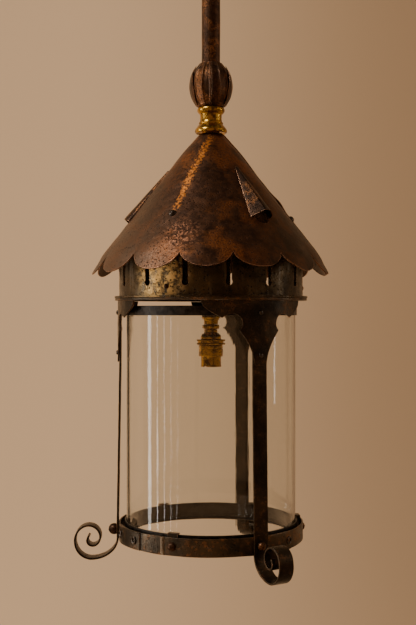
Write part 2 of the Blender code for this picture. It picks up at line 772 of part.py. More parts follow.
def make_roof_set():
    roof = make_roof()
    pieces = [roof]
    for i, (azimuth, ridge) in enumerate(VENTS):
        pieces.append(make_vent(f"roof_vent_{i + 1}", azimuth, ridge, roof))
    gallery = make_gallery()
    pieces.append(gallery)
    rivet_slope = 90 - degrees(ROOF_SLOPE)
    for i, azimuth in enumerate(ROOF_RIVET_AZIMUTHS):
        tab = make_roof_tab(f"roof_tab_{i + 1}", azimuth)
        foot = (107 * MM, roof_level(107 * MM))
        pieces.append(tab)
        pieces.append(rivet(f"roof_rivet_{i + 1}", "aged_copper", azimuth, foot, rivet_slope,
                            (5.2, 3.6), (2.2, 3.9), [roof, tab]))
        wall = (GALLERY_RADIUS, EYE_LEVEL + 33 * MM)
        pieces.append(rivet(f"gallery_rivet_{i + 1}", "gallery_bronze", azimuth, wall, 0,
                            (3, 1.8), (1.5, 4.3), [gallery, tab]))
    return pieces


def make_frame_set():
    band = make_band()
    pieces = [make_frame_flange(), band]
    face = BRACKET_RADIUS + BRACKET_SHEET
    for i, azimuth in enumerate(LEG_AZIMUTHS):
        leg = make_leg(f"leg_{i + 1}", azimuth)
        bracket = make_bracket(f"bracket_{i + 1}", azimuth)
        pieces += [leg, bracket]
        for place, drop in (("top", 16), ("low", 70)):
            foot = (face, FRAME_LEVEL - drop * MM)
            pieces.append(rivet(f"bracket_rivet_{place}_{i + 1}", "dark_bronze", azimuth, foot, 0,
                                (3.2, 2.2), (1.8, 4.8), [bracket, leg]))
        foot = (LEG_FOOT_RADIUS + LEG_THICKNESS / 2, EYE_LEVEL - 293 * MM)
        pieces.append(rivet(f"leg_rivet_{i + 1}", "aged_copper", azimuth, foot, 0,
                            LEG_BALLS[i], (2.2, 5.2), [leg, band]))
    for i, azimuth in enumerate(CLIP_AZIMUTHS):
        clip = make_clip(f"glass_clip_{i + 1}", azimuth)
        foot = (BAND_RADIUS, EYE_LEVEL - 293 * MM)
        pieces.append(clip)
        pieces.append(rivet(f"clip_rivet_{i + 1}", "aged_copper", azimuth, foot, 0,
                            (5.7, 4.8), (2.2, 4.2), [band, clip]))
    return pieces


def make_knop_set():
    pieces = [make_knop_half("knop_half_right", 0), make_knop_half("knop_half_left", 180)]
    for name, azimuth in zip(("bud_leaf_left", "bud_leaf_right"), BUD_LEAF_AZIMUTHS):
        pieces.append(make_bud_leaf(name, azimuth))
    return pieces


def make_lampholder_set():
    return (make_holder_nuts()
            + [make_holder_cap(), make_shade_ring(), make_holder_body(), make_holder_skirt(),
               make_holder_core(), make_plunger("plunger_left", -1), make_plunger("plunger_right", 1)])


make_ceiling_plate()
make_ceiling_fork()
gimbal_pivot = add_pivot("gimbal_pivot")
hang(make_gimbal_cross(), gimbal_pivot)
lantern_pivot = add_pivot("lantern_pivot", gimbal_pivot)
lantern = [make_rod_fork(), make_rod(), make_collar(), make_stem()]
lantern += make_knop_set() + make_roof_set() + make_frame_set()
lantern += [make_glass(), make_glass_top_ring(), make_seat_ring()]
lantern += make_lampholder_set()
for lantern_piece in lantern:
    hang(lantern_piece, lantern_pivot)
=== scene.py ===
"""Looks for the hanging lantern: fine pieces and their materials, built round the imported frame.

The frame's Z axis is the lantern's axis. An azimuth is counted from the front, -Y, towards +X.
Profiles are in millimetres, as (radius, height), and the heights of everything below the knop
are counted from EYE_LEVEL.
"""

from math import acos, atan2, cos, degrees, exp, hypot, pi, radians, sin, sqrt

import bmesh
import bpy
from mathutils import Matrix, Vector, noise


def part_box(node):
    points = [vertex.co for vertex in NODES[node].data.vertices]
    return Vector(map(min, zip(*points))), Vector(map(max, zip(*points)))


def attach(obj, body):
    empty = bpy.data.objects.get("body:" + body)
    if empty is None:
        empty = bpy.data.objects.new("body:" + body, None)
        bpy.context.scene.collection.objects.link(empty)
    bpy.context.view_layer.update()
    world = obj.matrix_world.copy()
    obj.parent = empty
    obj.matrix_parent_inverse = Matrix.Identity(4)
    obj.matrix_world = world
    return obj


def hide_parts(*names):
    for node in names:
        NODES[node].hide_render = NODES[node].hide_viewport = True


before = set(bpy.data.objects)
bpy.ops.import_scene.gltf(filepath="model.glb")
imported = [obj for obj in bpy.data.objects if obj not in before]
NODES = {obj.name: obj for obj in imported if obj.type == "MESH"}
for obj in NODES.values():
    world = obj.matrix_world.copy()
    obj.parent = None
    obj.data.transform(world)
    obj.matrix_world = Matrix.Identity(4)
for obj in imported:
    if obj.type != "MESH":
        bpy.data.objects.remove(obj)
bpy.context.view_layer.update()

MM = 0.001
SCENE = bpy.context.scene
noise.seed_set(1)         # without it, noise_vector differs from run to run


def top(node):
    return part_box(node)[1].z


def bottom(node):
    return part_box(node)[0].z


# ---- Driving dimensions ----

EYE_LEVEL = top("gallery") - 95 * MM  # the roof, frame and lampholder are measured from here
KNOP_TOP = top("knop_half_left")
COLLAR_TOP = top("collar")
GALLERY_RADIUS = 124.2
SHEET = 2.0
ROOF_SHEET = 1.5
BAND_RADIUS = 124.4

LOBES = 14
LOBE_ANGLE = 360 / LOBES
FIRST_CUSP = 10.4
LEG_AZIMUTHS = (29.6, 157.8, 272)
ROOF_RIVET_AZIMUTHS = (-27, 93, 213)
LAP_RIVET = 93            # the roof rivet that goes through the lapped seam
CLIP_AZIMUTHS = (-23.5, 96, 216)
BAND_RIVET_HEIGHT = -293  # of every rivet through the lower band
BUD_LEAF_AZIMUTHS = (-90, 90)

CORNER_STEPS = 3          # cells round a rounded corner
ROUND_STEPS = 128         # cells round a large ring


# ---- Nodes of a material ----

def add(tree, kind, sockets=None, **settings):
    """A shader node, with its sockets linked or set by their name or number."""
    node = tree.nodes.new("ShaderNode" + kind)
    for name, value in settings.items():
        setattr(node, name, value)
    for key, value in (sockets or {}).items():
        if isinstance(value, bpy.types.NodeSocket):
            tree.links.new(value, node.inputs[key])
        else:
            node.inputs[key].default_value = value
    return node


def maths(tree, operation, first, second=0.0):
    return add(tree, "Math", {0: first, 1: second}, operation=operation).outputs[0]


def product(tree, first, second):
    return maths(tree, "MULTIPLY", first, second)


def span(tree, value, start, end, low=0.0, high=1.0):
    """The value taken smoothly from low, at start, to high, at end."""
    sockets = {"Value": value, "From Min": start, "From Max": end, "To Min": low, "To Max": high}
    return add(tree, "MapRange", sockets, interpolation_type="SMOOTHSTEP").outputs[0]


def mixed(tree, factor, first, second, blend="MIX"):
    sockets = {"Factor": factor, 6: (*first, 1) if isinstance(first, tuple) else first,
               7: (*second, 1) if isinstance(second, tuple) else second}
    return add(tree, "Mix", sockets, data_type="RGBA", blend_type=blend).outputs[2]


def clouds(tree, vector, scale, detail=4.0, roughness=0.55, distortion=0.0):
    sockets = {"Vector": vector, "Scale": scale, "Detail": detail, "Roughness": roughness,
               "Distortion": distortion}
    return add(tree, "TexNoise", sockets).outputs[0]


def cells(tree, vector, scale):
    return add(tree, "TexVoronoi", {"Vector": vector, "Scale": scale}).outputs[0]


def stretched(tree, vector, scale):
    return add(tree, "VectorMath", {0: vector, 1: scale}, operation="MULTIPLY").outputs[0]


def bumped(tree, height, distance, normal=None):
    sockets = {"Height": height, "Distance": distance, "Strength": 1.0}
    if normal:
        sockets["Normal"] = normal
    return add(tree, "Bump", sockets).outputs[0]


def edge_wear(tree, radius):
    """1 along the sharp outer edges of a piece and 0 on its faces."""
    soft = add(tree, "Bevel", {"Radius": radius}, samples=4).outputs[0]
    hard = add(tree, "NewGeometry").outputs["Normal"]
    along = add(tree, "VectorMath", {0: soft, 1: hard}, operation="DOT_PRODUCT").outputs["Value"]
    return span(tree, along, 0.995, 0.86)


def axes(tree, place):
    """The place's three coordinates, in metres."""
    return add(tree, "SeparateXYZ", {0: place}).outputs


def near(tree, place, centre, far, close):
    """1 closer to a point than close and 0 past far, in metres."""
    gap = add(tree, "VectorMath", {0: place, 1: centre}, operation="DISTANCE").outputs["Value"]
    return span(tree, gap, far, close)


def start_material(name):
    material = bpy.data.materials.new(name)
    material.use_nodes = True
    tree = material.node_tree
    shader = tree.nodes["Principled BSDF"]
    place = add(tree, "TexCoord").outputs["Object"]
    return material, tree, shader, place


def wire(tree, shader, **sockets):
    """Link or set the shader's sockets, named with _ for a space."""
    for name, value in sockets.items():
        socket = shader.inputs[name.replace("_", " ")]
        if isinstance(value, bpy.types.NodeSocket):
            tree.links.new(value, socket)
        else:
            socket.default_value = (*value, 1) if isinstance(value, tuple) else value


# ---- Materials ----

def toned(colour, tone):
    return tuple(tone * value for value in colour)


def dark_pits(tree, place, scale, where):
    """Small round pits, kept to the parts where the given pattern is high."""
    return product(tree, span(tree, cells(tree, place, scale), 0.34, 0.18),
                 span(tree, where, 0.42, 0.56))


def wear_and_highlight(tree, place, middle, colour, rubbed, bare, pit_scale, pit_colour):
    """The colour with rubbed edges and dark pits, and the pits' pattern."""
    radius, start, end = rubbed
    edges = product(tree, edge_wear(tree, radius * MM), span(tree, middle, start, end))
    colour = mixed(tree, edges, colour, bare)
    pits = dark_pits(tree, place, pit_scale, middle)
    return mixed(tree, pits, colour, pit_colour), pits


def bump_layers(tree, place, fine, pits, beaten=0.5, grain=0.16):
    """Hammered unevenness, then the surface's grain, then its pits; sizes in millimetres."""
    normal = bumped(tree, clouds(tree, place, 110, 2, 0.4), beaten * MM)
    normal = bumped(tree, fine, grain * MM, normal)
    return bumped(tree, product(tree, pits, -1), 0.35 * MM, normal)


def painted_highlight_line(tree, place, middle, speckle):
    """A painted highlight: a broken bright line down the front of the roof, beside the ray at an azimuth.
    """
    azimuth, offset, half_width = radians(-33), 0.012, 0.0085
    across = (cos(azimuth), sin(azimuth), 0)
    along = (sin(azimuth), -cos(azimuth), 0)
    side = add(tree, "VectorMath", {0: place, 1: across}, operation="DOT_PRODUCT").outputs["Value"]
    out = add(tree, "VectorMath", {0: place, 1: along}, operation="DOT_PRODUCT").outputs["Value"]
    wander = product(tree, maths(tree, "SUBTRACT", middle, 0.5), 0.014)
    gap = maths(tree, "ABSOLUTE", maths(tree, "SUBTRACT", maths(tree, "ADD", side, wander), offset))
    line = product(tree, span(tree, gap, half_width, 0.0), span(tree, out, 0.004, 0.03))
    line = product(tree, line, span(tree, out, 0.115, 0.085))
    # The painted highlight, broken up by the speckle.
    wear_and_highlight = maths(tree, "ADD", product(tree, line, 0.13), speckle)
    return product(tree, span(tree, wear_and_highlight, 0.53, 0.64), span(tree, line, 0.0, 0.45))


def roof_copper(name):
    """Brown patina, painted lighter and greyer on the left and darker on the right, with a painted orange
    highlight.
    """
    material, tree, shader, place = start_material(name)
    broad = clouds(tree, place, 20, 6, 0.62, 0.3)
    middle = clouds(tree, place, 85, 6, 0.7, 0.2)
    fine = clouds(tree, place, 520, 4, 0.75)
    side, _, _ = axes(tree, place)
    colour = mixed(tree, span(tree, middle, 0.34, 0.66), (0.040, 0.019, 0.011), (0.115, 0.052, 0.027))
    # Painted light: lighter and greyer on the left, darker on the right, as the window light falls.
    colour = mixed(tree, span(tree, side, -0.030, -0.125, 0, 0.75), colour, (0.175, 0.125, 0.088))
    colour = mixed(tree, span(tree, side, 0.030, 0.115, 0, 0.7), colour, (0.055, 0.040, 0.026))
    middle_part = product(tree, span(tree, side, -0.085, -0.02), span(tree, side, 0.085, 0.02))
    rust = product(tree, span(tree, broad, 0.44, 0.62), span(tree, middle_part, 0, 1, 0.3, 0.85))
    rust = product(tree, rust, span(tree, fine, 0.34, 0.6))
    colour = mixed(tree, rust, colour, (0.34, 0.115, 0.030))
    speckle = clouds(tree, place, 300, 3, 0.65)
    # A painted orange highlight down the front of the roof.
    highlight_streak = painted_highlight_line(tree, place, middle, speckle)
    colour = mixed(tree, highlight_streak, colour, (0.66, 0.235, 0.045))
    # A painted rosy highlight at the lower left, where the orange one spreads.
    pink_highlight = near(tree, place, (-0.036, -0.118, EYE_LEVEL + 0.092), 0.034, 0.010)
    pink_highlight = product(tree, pink_highlight, span(tree, speckle, 0.50, 0.62, 0, 0.8))
    colour = mixed(tree, pink_highlight, colour, (0.52, 0.23, 0.12))
    colour, pits = wear_and_highlight(tree, place, middle, colour, (0.9, 0.3, 0.6), (0.78, 0.43, 0.28), 330,
                        (0.010, 0.006, 0.005))
    rough = span(tree, fine, 0.3, 0.7, 0.34, 0.56)
    wire(tree, shader, Base_Color=colour, Metallic=0.85, Roughness=rough,
         Normal=bump_layers(tree, place, fine, pits))
    return material


def patina_copper(name, tone=1.0):
    """Dark brown patina, rubbed back to copper on its ridges and edges."""
    material, tree, shader, place = start_material(name)
    broad = clouds(tree, place, 40, 5, 0.6, 0.4)
    middle = clouds(tree, place, 130, 6, 0.7, 0.2)
    fine = clouds(tree, place, 520, 4, 0.75)
    dark = toned((0.030, 0.017, 0.011), tone)
    brown = toned((0.10, 0.050, 0.028), tone)
    colour = mixed(tree, span(tree, middle, 0.34, 0.66), dark, brown)
    warm = product(tree, span(tree, broad, 0.44, 0.62), span(tree, fine, 0.42, 0.62))
    colour = mixed(tree, warm, colour, (0.34, 0.14, 0.05))
    colour, pits = wear_and_highlight(tree, place, middle, colour, (0.9, 0.26, 0.56), (0.72, 0.40, 0.24), 330,
                        (0.010, 0.006, 0.005))
    rough = span(tree, fine, 0.3, 0.7, 0.28, 0.48)
    wire(tree, shader, Base_Color=colour, Metallic=0.88, Roughness=rough,
         Normal=bump_layers(tree, place, fine, pits, 0.3, 0.14))
    return material


def dark_bronze(name, copper=0.3, tone=1.0):
    """Nearly black bronze, rubbed to brown and copper on its edges and in small patches."""
    material, tree, shader, place = start_material(name)
    broad = clouds(tree, place, 26, 4, 0.6, 0.2)
    middle = clouds(tree, place, 150, 6, 0.7, 0.2)
    fine = clouds(tree, place, 520, 4, 0.75)
    dark = toned((0.021, 0.018, 0.014), tone)
    brown = toned((0.064, 0.047, 0.030), tone)
    colour = mixed(tree, span(tree, broad, 0.35, 0.68), dark, brown)
    colour = mixed(tree, span(tree, fine, 0.52, 0.72, 0, 0.45), colour, (0.12, 0.078, 0.045))
    patches = product(tree, span(tree, middle, 0.50, 0.64), span(tree, broad, 0.42, 0.60))
    patches = product(tree, patches, copper)
    colour = mixed(tree, patches, colour, (0.34, 0.15, 0.06))
    colour, pits = wear_and_highlight(tree, place, middle, colour, (0.8, 0.34, 0.64), (0.50, 0.27, 0.14), 380,
                        (0.006, 0.005, 0.004))
    rough = span(tree, middle, 0.3, 0.7, 0.27, 0.46)
    wire(tree, shader, Base_Color=colour, Metallic=0.9, Roughness=rough,
         Normal=bump_layers(tree, place, fine, pits, 0.3, 0.12))
    return material


def gallery_bronze(name):
    """Dark olive bronze with grey upright runs, and a painted gold highlight on the front left."""
    material, tree, shader, place = start_material(name)
    broad = clouds(tree, place, 24, 5, 0.6, 0.4)
    middle = clouds(tree, place, 110, 6, 0.7, 0.2)
    fine = clouds(tree, place, 520, 4, 0.75)
    runs = clouds(tree, stretched(tree, place, (110, 110, 12)), 1, 4, 0.6)
    colour = mixed(tree, span(tree, broad, 0.34, 0.62), (0.026, 0.021, 0.014), (0.085, 0.062, 0.034))
    colour = mixed(tree, span(tree, runs, 0.50, 0.70, 0, 0.7), colour, (0.15, 0.13, 0.10))
    # A painted highlight on the front left, where the window light is reflected.
    golden_highlight = near(tree, place, (-0.064, -0.108, EYE_LEVEL + 0.052), 0.050, 0.014)
    golden_highlight = product(tree, golden_highlight, span(tree, middle, 0.40, 0.58))
    scattered = product(tree, span(tree, broad, 0.56, 0.68), span(tree, middle, 0.48, 0.62))
    colour = mixed(tree, product(tree, scattered, 0.5), colour, (0.30, 0.17, 0.06))
    colour = mixed(tree, golden_highlight, colour, (0.66, 0.42, 0.15))
    colour, pits = wear_and_highlight(tree, place, middle, colour, (0.8, 0.3, 0.6), (0.55, 0.31, 0.15), 240,
                        (0.012, 0.009, 0.007))
    rough = span(tree, middle, 0.3, 0.7, 0.24, 0.42)
    wire(tree, shader, Base_Color=colour, Metallic=0.92, Roughness=rough,
         Normal=bump_layers(tree, place, fine, pits, 0.5, 0.12))
    return material


def turned_brass(name, aged):
    """Bright brass with turning lines, dulled and browned where it is aged."""
    material, tree, shader, place = start_material(name)
    middle = clouds(tree, place, 150, 5, 0.65, 0.4)
    fine = clouds(tree, place, 900, 3, 0.6)
    lines = clouds(tree, stretched(tree, place, (20, 20, 2600)), 1, 2, 0.5)
    colour = mixed(tree, span(tree, middle, 0.35, 0.7), (0.60, 0.36, 0.065), (0.34, 0.19, 0.035))
    brown = product(tree, span(tree, middle, 0.46, 0.60), aged)
    colour = mixed(tree, brown, colour, (0.065, 0.036, 0.010))
    rough = span(tree, middle, 0.35, 0.7, 0.16, 0.32)
    scored = bumped(tree, lines, 0.03 * MM)
    grain = bumped(tree, fine, 0.03 * MM, scored)
    wire(tree, shader, Base_Color=colour, Metallic=1.0, Roughness=rough, Normal=grain)
    return material


def blackened_steel(name):
    material, tree, shader, place = start_material(name)
    middle = clouds(tree, place, 120, 5, 0.65, 0.3)
    fine = clouds(tree, place, 700, 3, 0.7)
    colour = mixed(tree, span(tree, middle, 0.35, 0.7), (0.012, 0.011, 0.010), (0.05, 0.042, 0.035))
    edges = product(tree, edge_wear(tree, 0.6 * MM), 0.6)
    colour = mixed(tree, edges, colour, (0.22, 0.18, 0.15))
    rough = span(tree, middle, 0.3, 0.7, 0.28, 0.5)
    grain = bumped(tree, fine, 0.08 * MM)
    wire(tree, shader, Base_Color=colour, Metallic=0.8, Roughness=rough, Normal=grain)
    return material


def steel_rivet(name):
    """Dark steel, brighter in patches."""
    material, tree, shader, place = start_material(name)
    middle = clouds(tree, place, 230, 5, 0.65, 0.3)
    colour = mixed(tree, span(tree, middle, 0.4, 0.7), (0.045, 0.040, 0.037), (0.16, 0.13, 0.11))
    rough = span(tree, middle, 0.3, 0.7, 0.18, 0.36)
    grain = bumped(tree, middle, 0.15 * MM)
    wire(tree, shader, Base_Color=colour, Metallic=0.95, Roughness=rough, Normal=grain)
    return material


def clear_glass(name):
    """Clear glass with the faint waves of a drawn cylinder."""
    material, tree, shader, place = start_material(name)
    waves = clouds(tree, stretched(tree, place, (26, 26, 5)), 1, 2, 0.4)
    lines = clouds(tree, stretched(tree, place, (260, 260, 9)), 1, 3, 0.6)
    smears = clouds(tree, stretched(tree, place, (60, 60, 12)), 1, 5, 0.6)
    rough = span(tree, smears, 0.5, 0.75, 0.0, 0.02)
    drawn = bumped(tree, lines, 0.05 * MM, bumped(tree, waves, 0.3 * MM))
    wire(tree, shader, Base_Color=(0.97, 0.98, 0.965), Metallic=0.0, Roughness=rough, IOR=1.47,
         Transmission_Weight=1.0, Normal=drawn)
    return material


def moulding(name):
    """Cream moulded insulator."""
    material, tree, shader, place = start_material(name)
    middle = clouds(tree, place, 160, 4, 0.6)
    fine = clouds(tree, place, 900, 2, 0.5)
    colour = mixed(tree, span(tree, middle, 0.35, 0.7), (0.70, 0.65, 0.55), (0.58, 0.52, 0.42))
    rough = span(tree, middle, 0.3, 0.7, 0.32, 0.5)
    wire(tree, shader, Base_Color=colour, Roughness=rough, Normal=bumped(tree, fine, 0.03 * MM))
    return material


# Each material's name, its slot, the function that makes it and what that is given.
LOOKS = (
    ("roof_copper", "aged_copper", roof_copper, {}),
    ("copper", "aged_copper", patina_copper, {}),
    ("hood_copper", "aged_copper", patina_copper, {"tone": 0.55}),
    ("bronze", "dark_bronze", dark_bronze, {}),
    ("band_bronze", "dark_bronze", dark_bronze, {"copper": 0.7, "tone": 1.9}),
    ("flange_bronze", "dark_bronze", dark_bronze, {"copper": 1.0, "tone": 1.8}),
    ("gallery_bronze", "gallery_bronze", gallery_bronze, {}),
    ("collar_brass", "brass", turned_brass, {"aged": 0.75}),
    ("holder_brass", "brass", turned_brass, {"aged": 0.45}),
    ("brazing", "dark_bronze", dark_bronze, {"copper": 0.6, "tone": 5.0}),
    ("black_steel", "black_steel", blackened_steel, {}),
    ("steel_rivet", "aged_copper", steel_rivet, {}),
    ("glass", "clear_glass", clear_glass, {}),
    ("insulator", "insulator", moulding, {}),
)
MATERIALS = {name: make(name, **settings) for name, _, make, settings in LOOKS}


# ---- Ways of making a shape ----

def turn(azimuth):
    """The matrix that carries a piece built along +X to its azimuth."""
    return Matrix.Rotation(radians(azimuth - 90), 4, "Z")


def around(azimuth, radius, height, level=None):
    """A point in metres, from an azimuth in degrees and millimetres over EYE_LEVEL or the level."""
    base = EYE_LEVEL if level is None else level
    return Vector((radius * MM * sin(radians(azimuth)), -radius * MM * cos(radians(azimuth)),
                   base + height * MM))


def facing(azimuth, radius, height):
    """The place of an outline drawn on an upright wall: X to the right, Y up and Z out of it."""
    spot = Matrix.Translation((radius * MM, 0, EYE_LEVEL + height * MM))
    upright = Matrix.Rotation(radians(90), 4, "Z") @ Matrix.Rotation(radians(90), 4, "X")
    return turn(azimuth) @ spot @ upright


def ripple(point, scale, amount):
    """Smooth unevenness at a point in metres: scale is in waves a metre, amount in millimetres."""
    return amount * noise.noise(point * scale)


def grid_mesh(name, columns, rows, place, ring=False, tube=False, caps=False):
    """A sheet of cells with its corners at place(column, row). ring joins the last column to the
    first, tube the last row to the first, and caps closes a tube's two ends."""
    wide = columns if ring else columns + 1
    tall = rows if tube else rows + 1
    bm = bmesh.new()
    verts = [[bm.verts.new(place(column, row)) for column in range(wide)] for row in range(tall)]
    for row in range(rows):
        for column in range(columns):
            here, beside = column, (column + 1) % wide
            below = (row + 1) % tall
            bm.faces.new((verts[row][here], verts[row][beside], verts[below][beside],
                          verts[below][here]))
    if caps:
        bm.faces.new([line[0] for line in verts])
        bm.faces.new([line[-1] for line in verts])
    bmesh.ops.remove_doubles(bm, verts=bm.verts, dist=0.00001)
    bmesh.ops.recalc_face_normals(bm, faces=bm.faces)
    mesh = bpy.data.meshes.new(name)
    bm.to_mesh(mesh)
    bm.free()
    return mesh


def rounded(profile, fillet):
    """The closed profile with each of its corners turned into a short curve."""
    corners = [Vector(point) for point in profile]
    smooth = []
    for i, corner in enumerate(corners):
        before = corners[i - 1] - corner
        after = corners[(i + 1) % len(corners)] - corner
        start = corner + before.normalized() * min(fillet, 0.45 * before.length)
        end = corner + after.normalized() * min(fillet, 0.45 * after.length)
        for step in range(CORNER_STEPS + 1):
            t = step / CORNER_STEPS
            smooth.append(start.lerp(corner, t).lerp(corner.lerp(end, t), t))
    return smooth


def divided(profile, longest):
    """A closed profile with its long sides cut into cells no longer than the given length."""
    points = []
    for i, start in enumerate(profile):
        end = profile[(i + 1) % len(profile)]
        count = max(1, round((end - start).length / longest))
        points += [start.lerp(end, step / count) for step in range(count)]
    return points


def curved(points, cuts):
    """A smooth curve through the points, with the given number of cells between two of them."""
    points = [Vector(point) for point in points]
    curve = []
    for i in range(len(points) - 1):
        before = points[max(i - 1, 0)]
        after = points[min(i + 2, len(points) - 1)]
        start, end = points[i], points[i + 1]
        for step in range(cuts):
            t = step / cuts
            bend = (2 * start + (end - before) * t + (2 * before - 5 * start + 4 * end - after) * t ** 2
                    + (3 * start - before - 3 * end + after) * t ** 3)
            curve.append(bend / 2)
    curve.append(points[-1])
    return curve


def lathe_mesh(name, profile, level=None, steps=ROUND_STEPS, uneven=None):
    """A ring turned from a closed profile."""

    def place(column, row):
        radius, height = profile[row]
        azimuth = 360 * column / steps
        if uneven:
            radius += uneven(azimuth, radius, height)
        return around(azimuth, radius, height, level)

    return grid_mesh(name, steps, len(profile), place, ring=True, tube=True)


def add_piece(name, mesh, material, replaced=(), body="lantern", sharp=38):
    piece = bpy.data.objects.new(name, mesh)
    SCENE.collection.objects.link(piece)
    mesh.materials.append(MATERIALS[material])
    mesh.shade_smooth()
    mesh.set_sharp_from_angle(angle=radians(sharp))
    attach(piece, body)
    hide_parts(*((replaced,) if isinstance(replaced, str) else replaced))
    return piece


def give_sheet(piece, thickness, side, even=False):
    """Give a surface its thickness in millimetres, outwards where side is 1."""
    solid = piece.modifiers.new("sheet", "SOLIDIFY")
    solid.thickness = thickness * MM
    solid.offset = side
    solid.use_even_offset = even


def thicken(piece, thickness, side, edge=0.3):
    """A sheet of even thickness, with softened edges."""
    give_sheet(piece, thickness, side, even=True)
    soften(piece, edge)


def soften(piece, edge=0.3):
    bevel = piece.modifiers.new("edges", "BEVEL")
    bevel.width = edge * MM
    bevel.segments = 2
    bevel.limit_method = "ANGLE"
    bevel.angle_limit = radians(50)
    piece.modifiers.new("shading", "WEIGHTED_NORMAL").keep_sharp = True


def cut(piece, cutter_mesh, place=None, operation="DIFFERENCE"):
    """Cut a piece with a mesh, and keep only the result."""
    cutter = bpy.data.objects.new("cutter", cutter_mesh)
    SCENE.collection.objects.link(cutter)
    if place:
        cutter.matrix_world = place
    boolean = piece.modifiers.new("cut", "BOOLEAN")
    boolean.object = cutter
    boolean.operation = operation
    bpy.context.view_layer.update()
    evaluated = piece.evaluated_get(bpy.context.evaluated_depsgraph_get())
    piece.data = bpy.data.meshes.new_from_object(evaluated)
    piece.modifiers.clear()
    bpy.data.objects.remove(cutter)


def prism_mesh(name, outline, depth):
    """A prism along Z, centred on Z = 0, from an outline in metres."""
    return grid_mesh(name, 1, len(outline),
                     lambda column, row: Vector((*outline[row], (column - 0.5) * depth)),
                     tube=True, caps=True)


def bar_mesh(name, route, width, thickness, azimuth, uneven=0.25):
    """A flat bar of rounded section, bent along a route of (radius, height) points."""
    half, thin, corner = width / 2, thickness / 2, 0.7
    section = rounded(((-half, -thin), (half, -thin), (half, thin), (-half, thin)), corner)
    last = len(route) - 1

    def place(column, row):
        centre = Vector(route[column])
        along = (Vector(route[min(column + 1, last)]) - Vector(route[max(column - 1, 0)])).normalized()
        across = Vector((-along.y, along.x))
        side, out = section[row]
        spot = centre + across * out
        point = turn(azimuth) @ Vector((spot.x * MM, side * MM, EYE_LEVEL + spot.y * MM))
        dent = Vector([ripple(point + Vector((i, 7 * i, 3)), 90, uneven) * MM for i in range(3)])
        return point + dent

    return grid_mesh(name, last, len(section), place, tube=True, caps=True)


# ---- Rivets ----

def dome(radius, height):
    """A dome, or most of a ball where it is higher than its radius, from its crown to the axis."""
    lift = max(height - radius, 0)
    sweep = acos(-lift / radius)
    angles = [sweep * i / 12 for i in range(13)]
    head = [(radius * sin(a), lift + (height - lift) * cos(a)) for a in angles]
    return head + [(head[-1][0], -0.25), (0, -0.25)]


def add_rivet(name, material, azimuth, foot, slope, head, replaced, washer=0):
    """A hand-hammered domed rivet. foot is its (radius, height) and slope its axis over level."""
    radius, height = head
    seed = Vector((azimuth, foot[0], foot[1]))
    profile = dome(radius, height)
    if washer:
        rim = [(washer, 0.35), (washer, -0.25), (0, -0.25)]
        profile = dome(radius, height)[:-2] + [(radius + 0.3, 0.35)] + rim
    lift = 0.3

    def place(column, row):
        out, up = profile[row]
        angle = 2 * pi * column / 24
        point = Vector((out * cos(angle), out * sin(angle), up + lift))
        point += 0.05 * radius * noise.noise_vector(point * 0.45 + seed)
        return point * MM

    mesh = grid_mesh(name, 24, len(profile) - 1, place, ring=True)
    stand = Matrix.Translation((foot[0] * MM, 0, EYE_LEVEL + foot[1] * MM))
    mesh.transform(turn(azimuth) @ stand @ Matrix.Rotation(radians(90 - slope), 4, "Y"))
    return add_piece(name, mesh, material, replaced)


# ---- Ceiling fitting, rod and knop ----

def keep(node, material, edge=0.3):
    """Show a CAD node as it is, with its material and softened edges."""
    piece = NODES[node]
    piece.data.materials.clear()
    piece.data.materials.append(MATERIALS[material])
    soften(piece, edge)


def make_ceiling_fitting():
    for node in ("ceiling_plate", "ceiling_fork", "rod_fork"):
        keep(node, "bronze", 0.8)
    keep("gimbal_cross", "black_steel", 0.6)


ROD_RADIUS = 12.5
ROD_BORE = 9.0


def make_rod():
    length = (top("suspension_rod") - bottom("suspension_rod")) / MM
    corners = rounded(((ROD_RADIUS, 0), (ROD_RADIUS, -length), (ROD_BORE, -length), (ROD_BORE, 0)), 0.5)

    def uneven(azimuth, radius, height):
        return ripple(around(azimuth, radius, height), 45, 0.25) if radius > ROD_BORE + 1 else 0

    mesh = lathe_mesh("rod", divided(corners, 5), top("suspension_rod"), 96, uneven=uneven)
    add_piece("rod_tube", mesh, "copper", "suspension_rod")


KNOP_PROFILE = ((13.9, 0), (16.5, -4), (21.3, -11), (24.6, -19), (26.3, -31), (25.0, -41),
                (22.2, -49), (16.4, -58.5))
KNOP_WAVES = 7            # ridges on each half shell
KNOP_SEAM = 0.9           # half the gap between the shells, in degrees


def knop_curve(cuts):
    return curved(KNOP_PROFILE, cuts)


def make_knop_half(name, node, start):
    columns = 112
    curve = knop_curve(8)
    rows = len(curve) - 1

    def place(column, row):
        across = column / columns
        radius, height = curve[row]
        swell = sin(pi * row / rows) ** 0.6
        wave = abs(cos(pi * KNOP_WAVES * (across - 0.5 / KNOP_WAVES)))
        flute = 1.5 * swell * ((1 - wave) ** 2.2 - 0.4)
        lip = 0.9 * exp(-((min(across, 1 - across) * 180 - 0.8) / 1.6) ** 2) * swell
        bead = 0.9 * exp(-((height + 56.8) / 1.1) ** 2)
        azimuth = start + KNOP_SEAM + (180 - 2 * KNOP_SEAM) * across
        point = around(azimuth, radius + flute + lip + bead, height, KNOP_TOP)
        return point + point.normalized() * ripple(point, 120, 0.25) * MM

    piece = add_piece(name, grid_mesh(name, columns, rows, place), "copper", node, sharp=60)
    thicken(piece, 1.0, 1, 0.2)


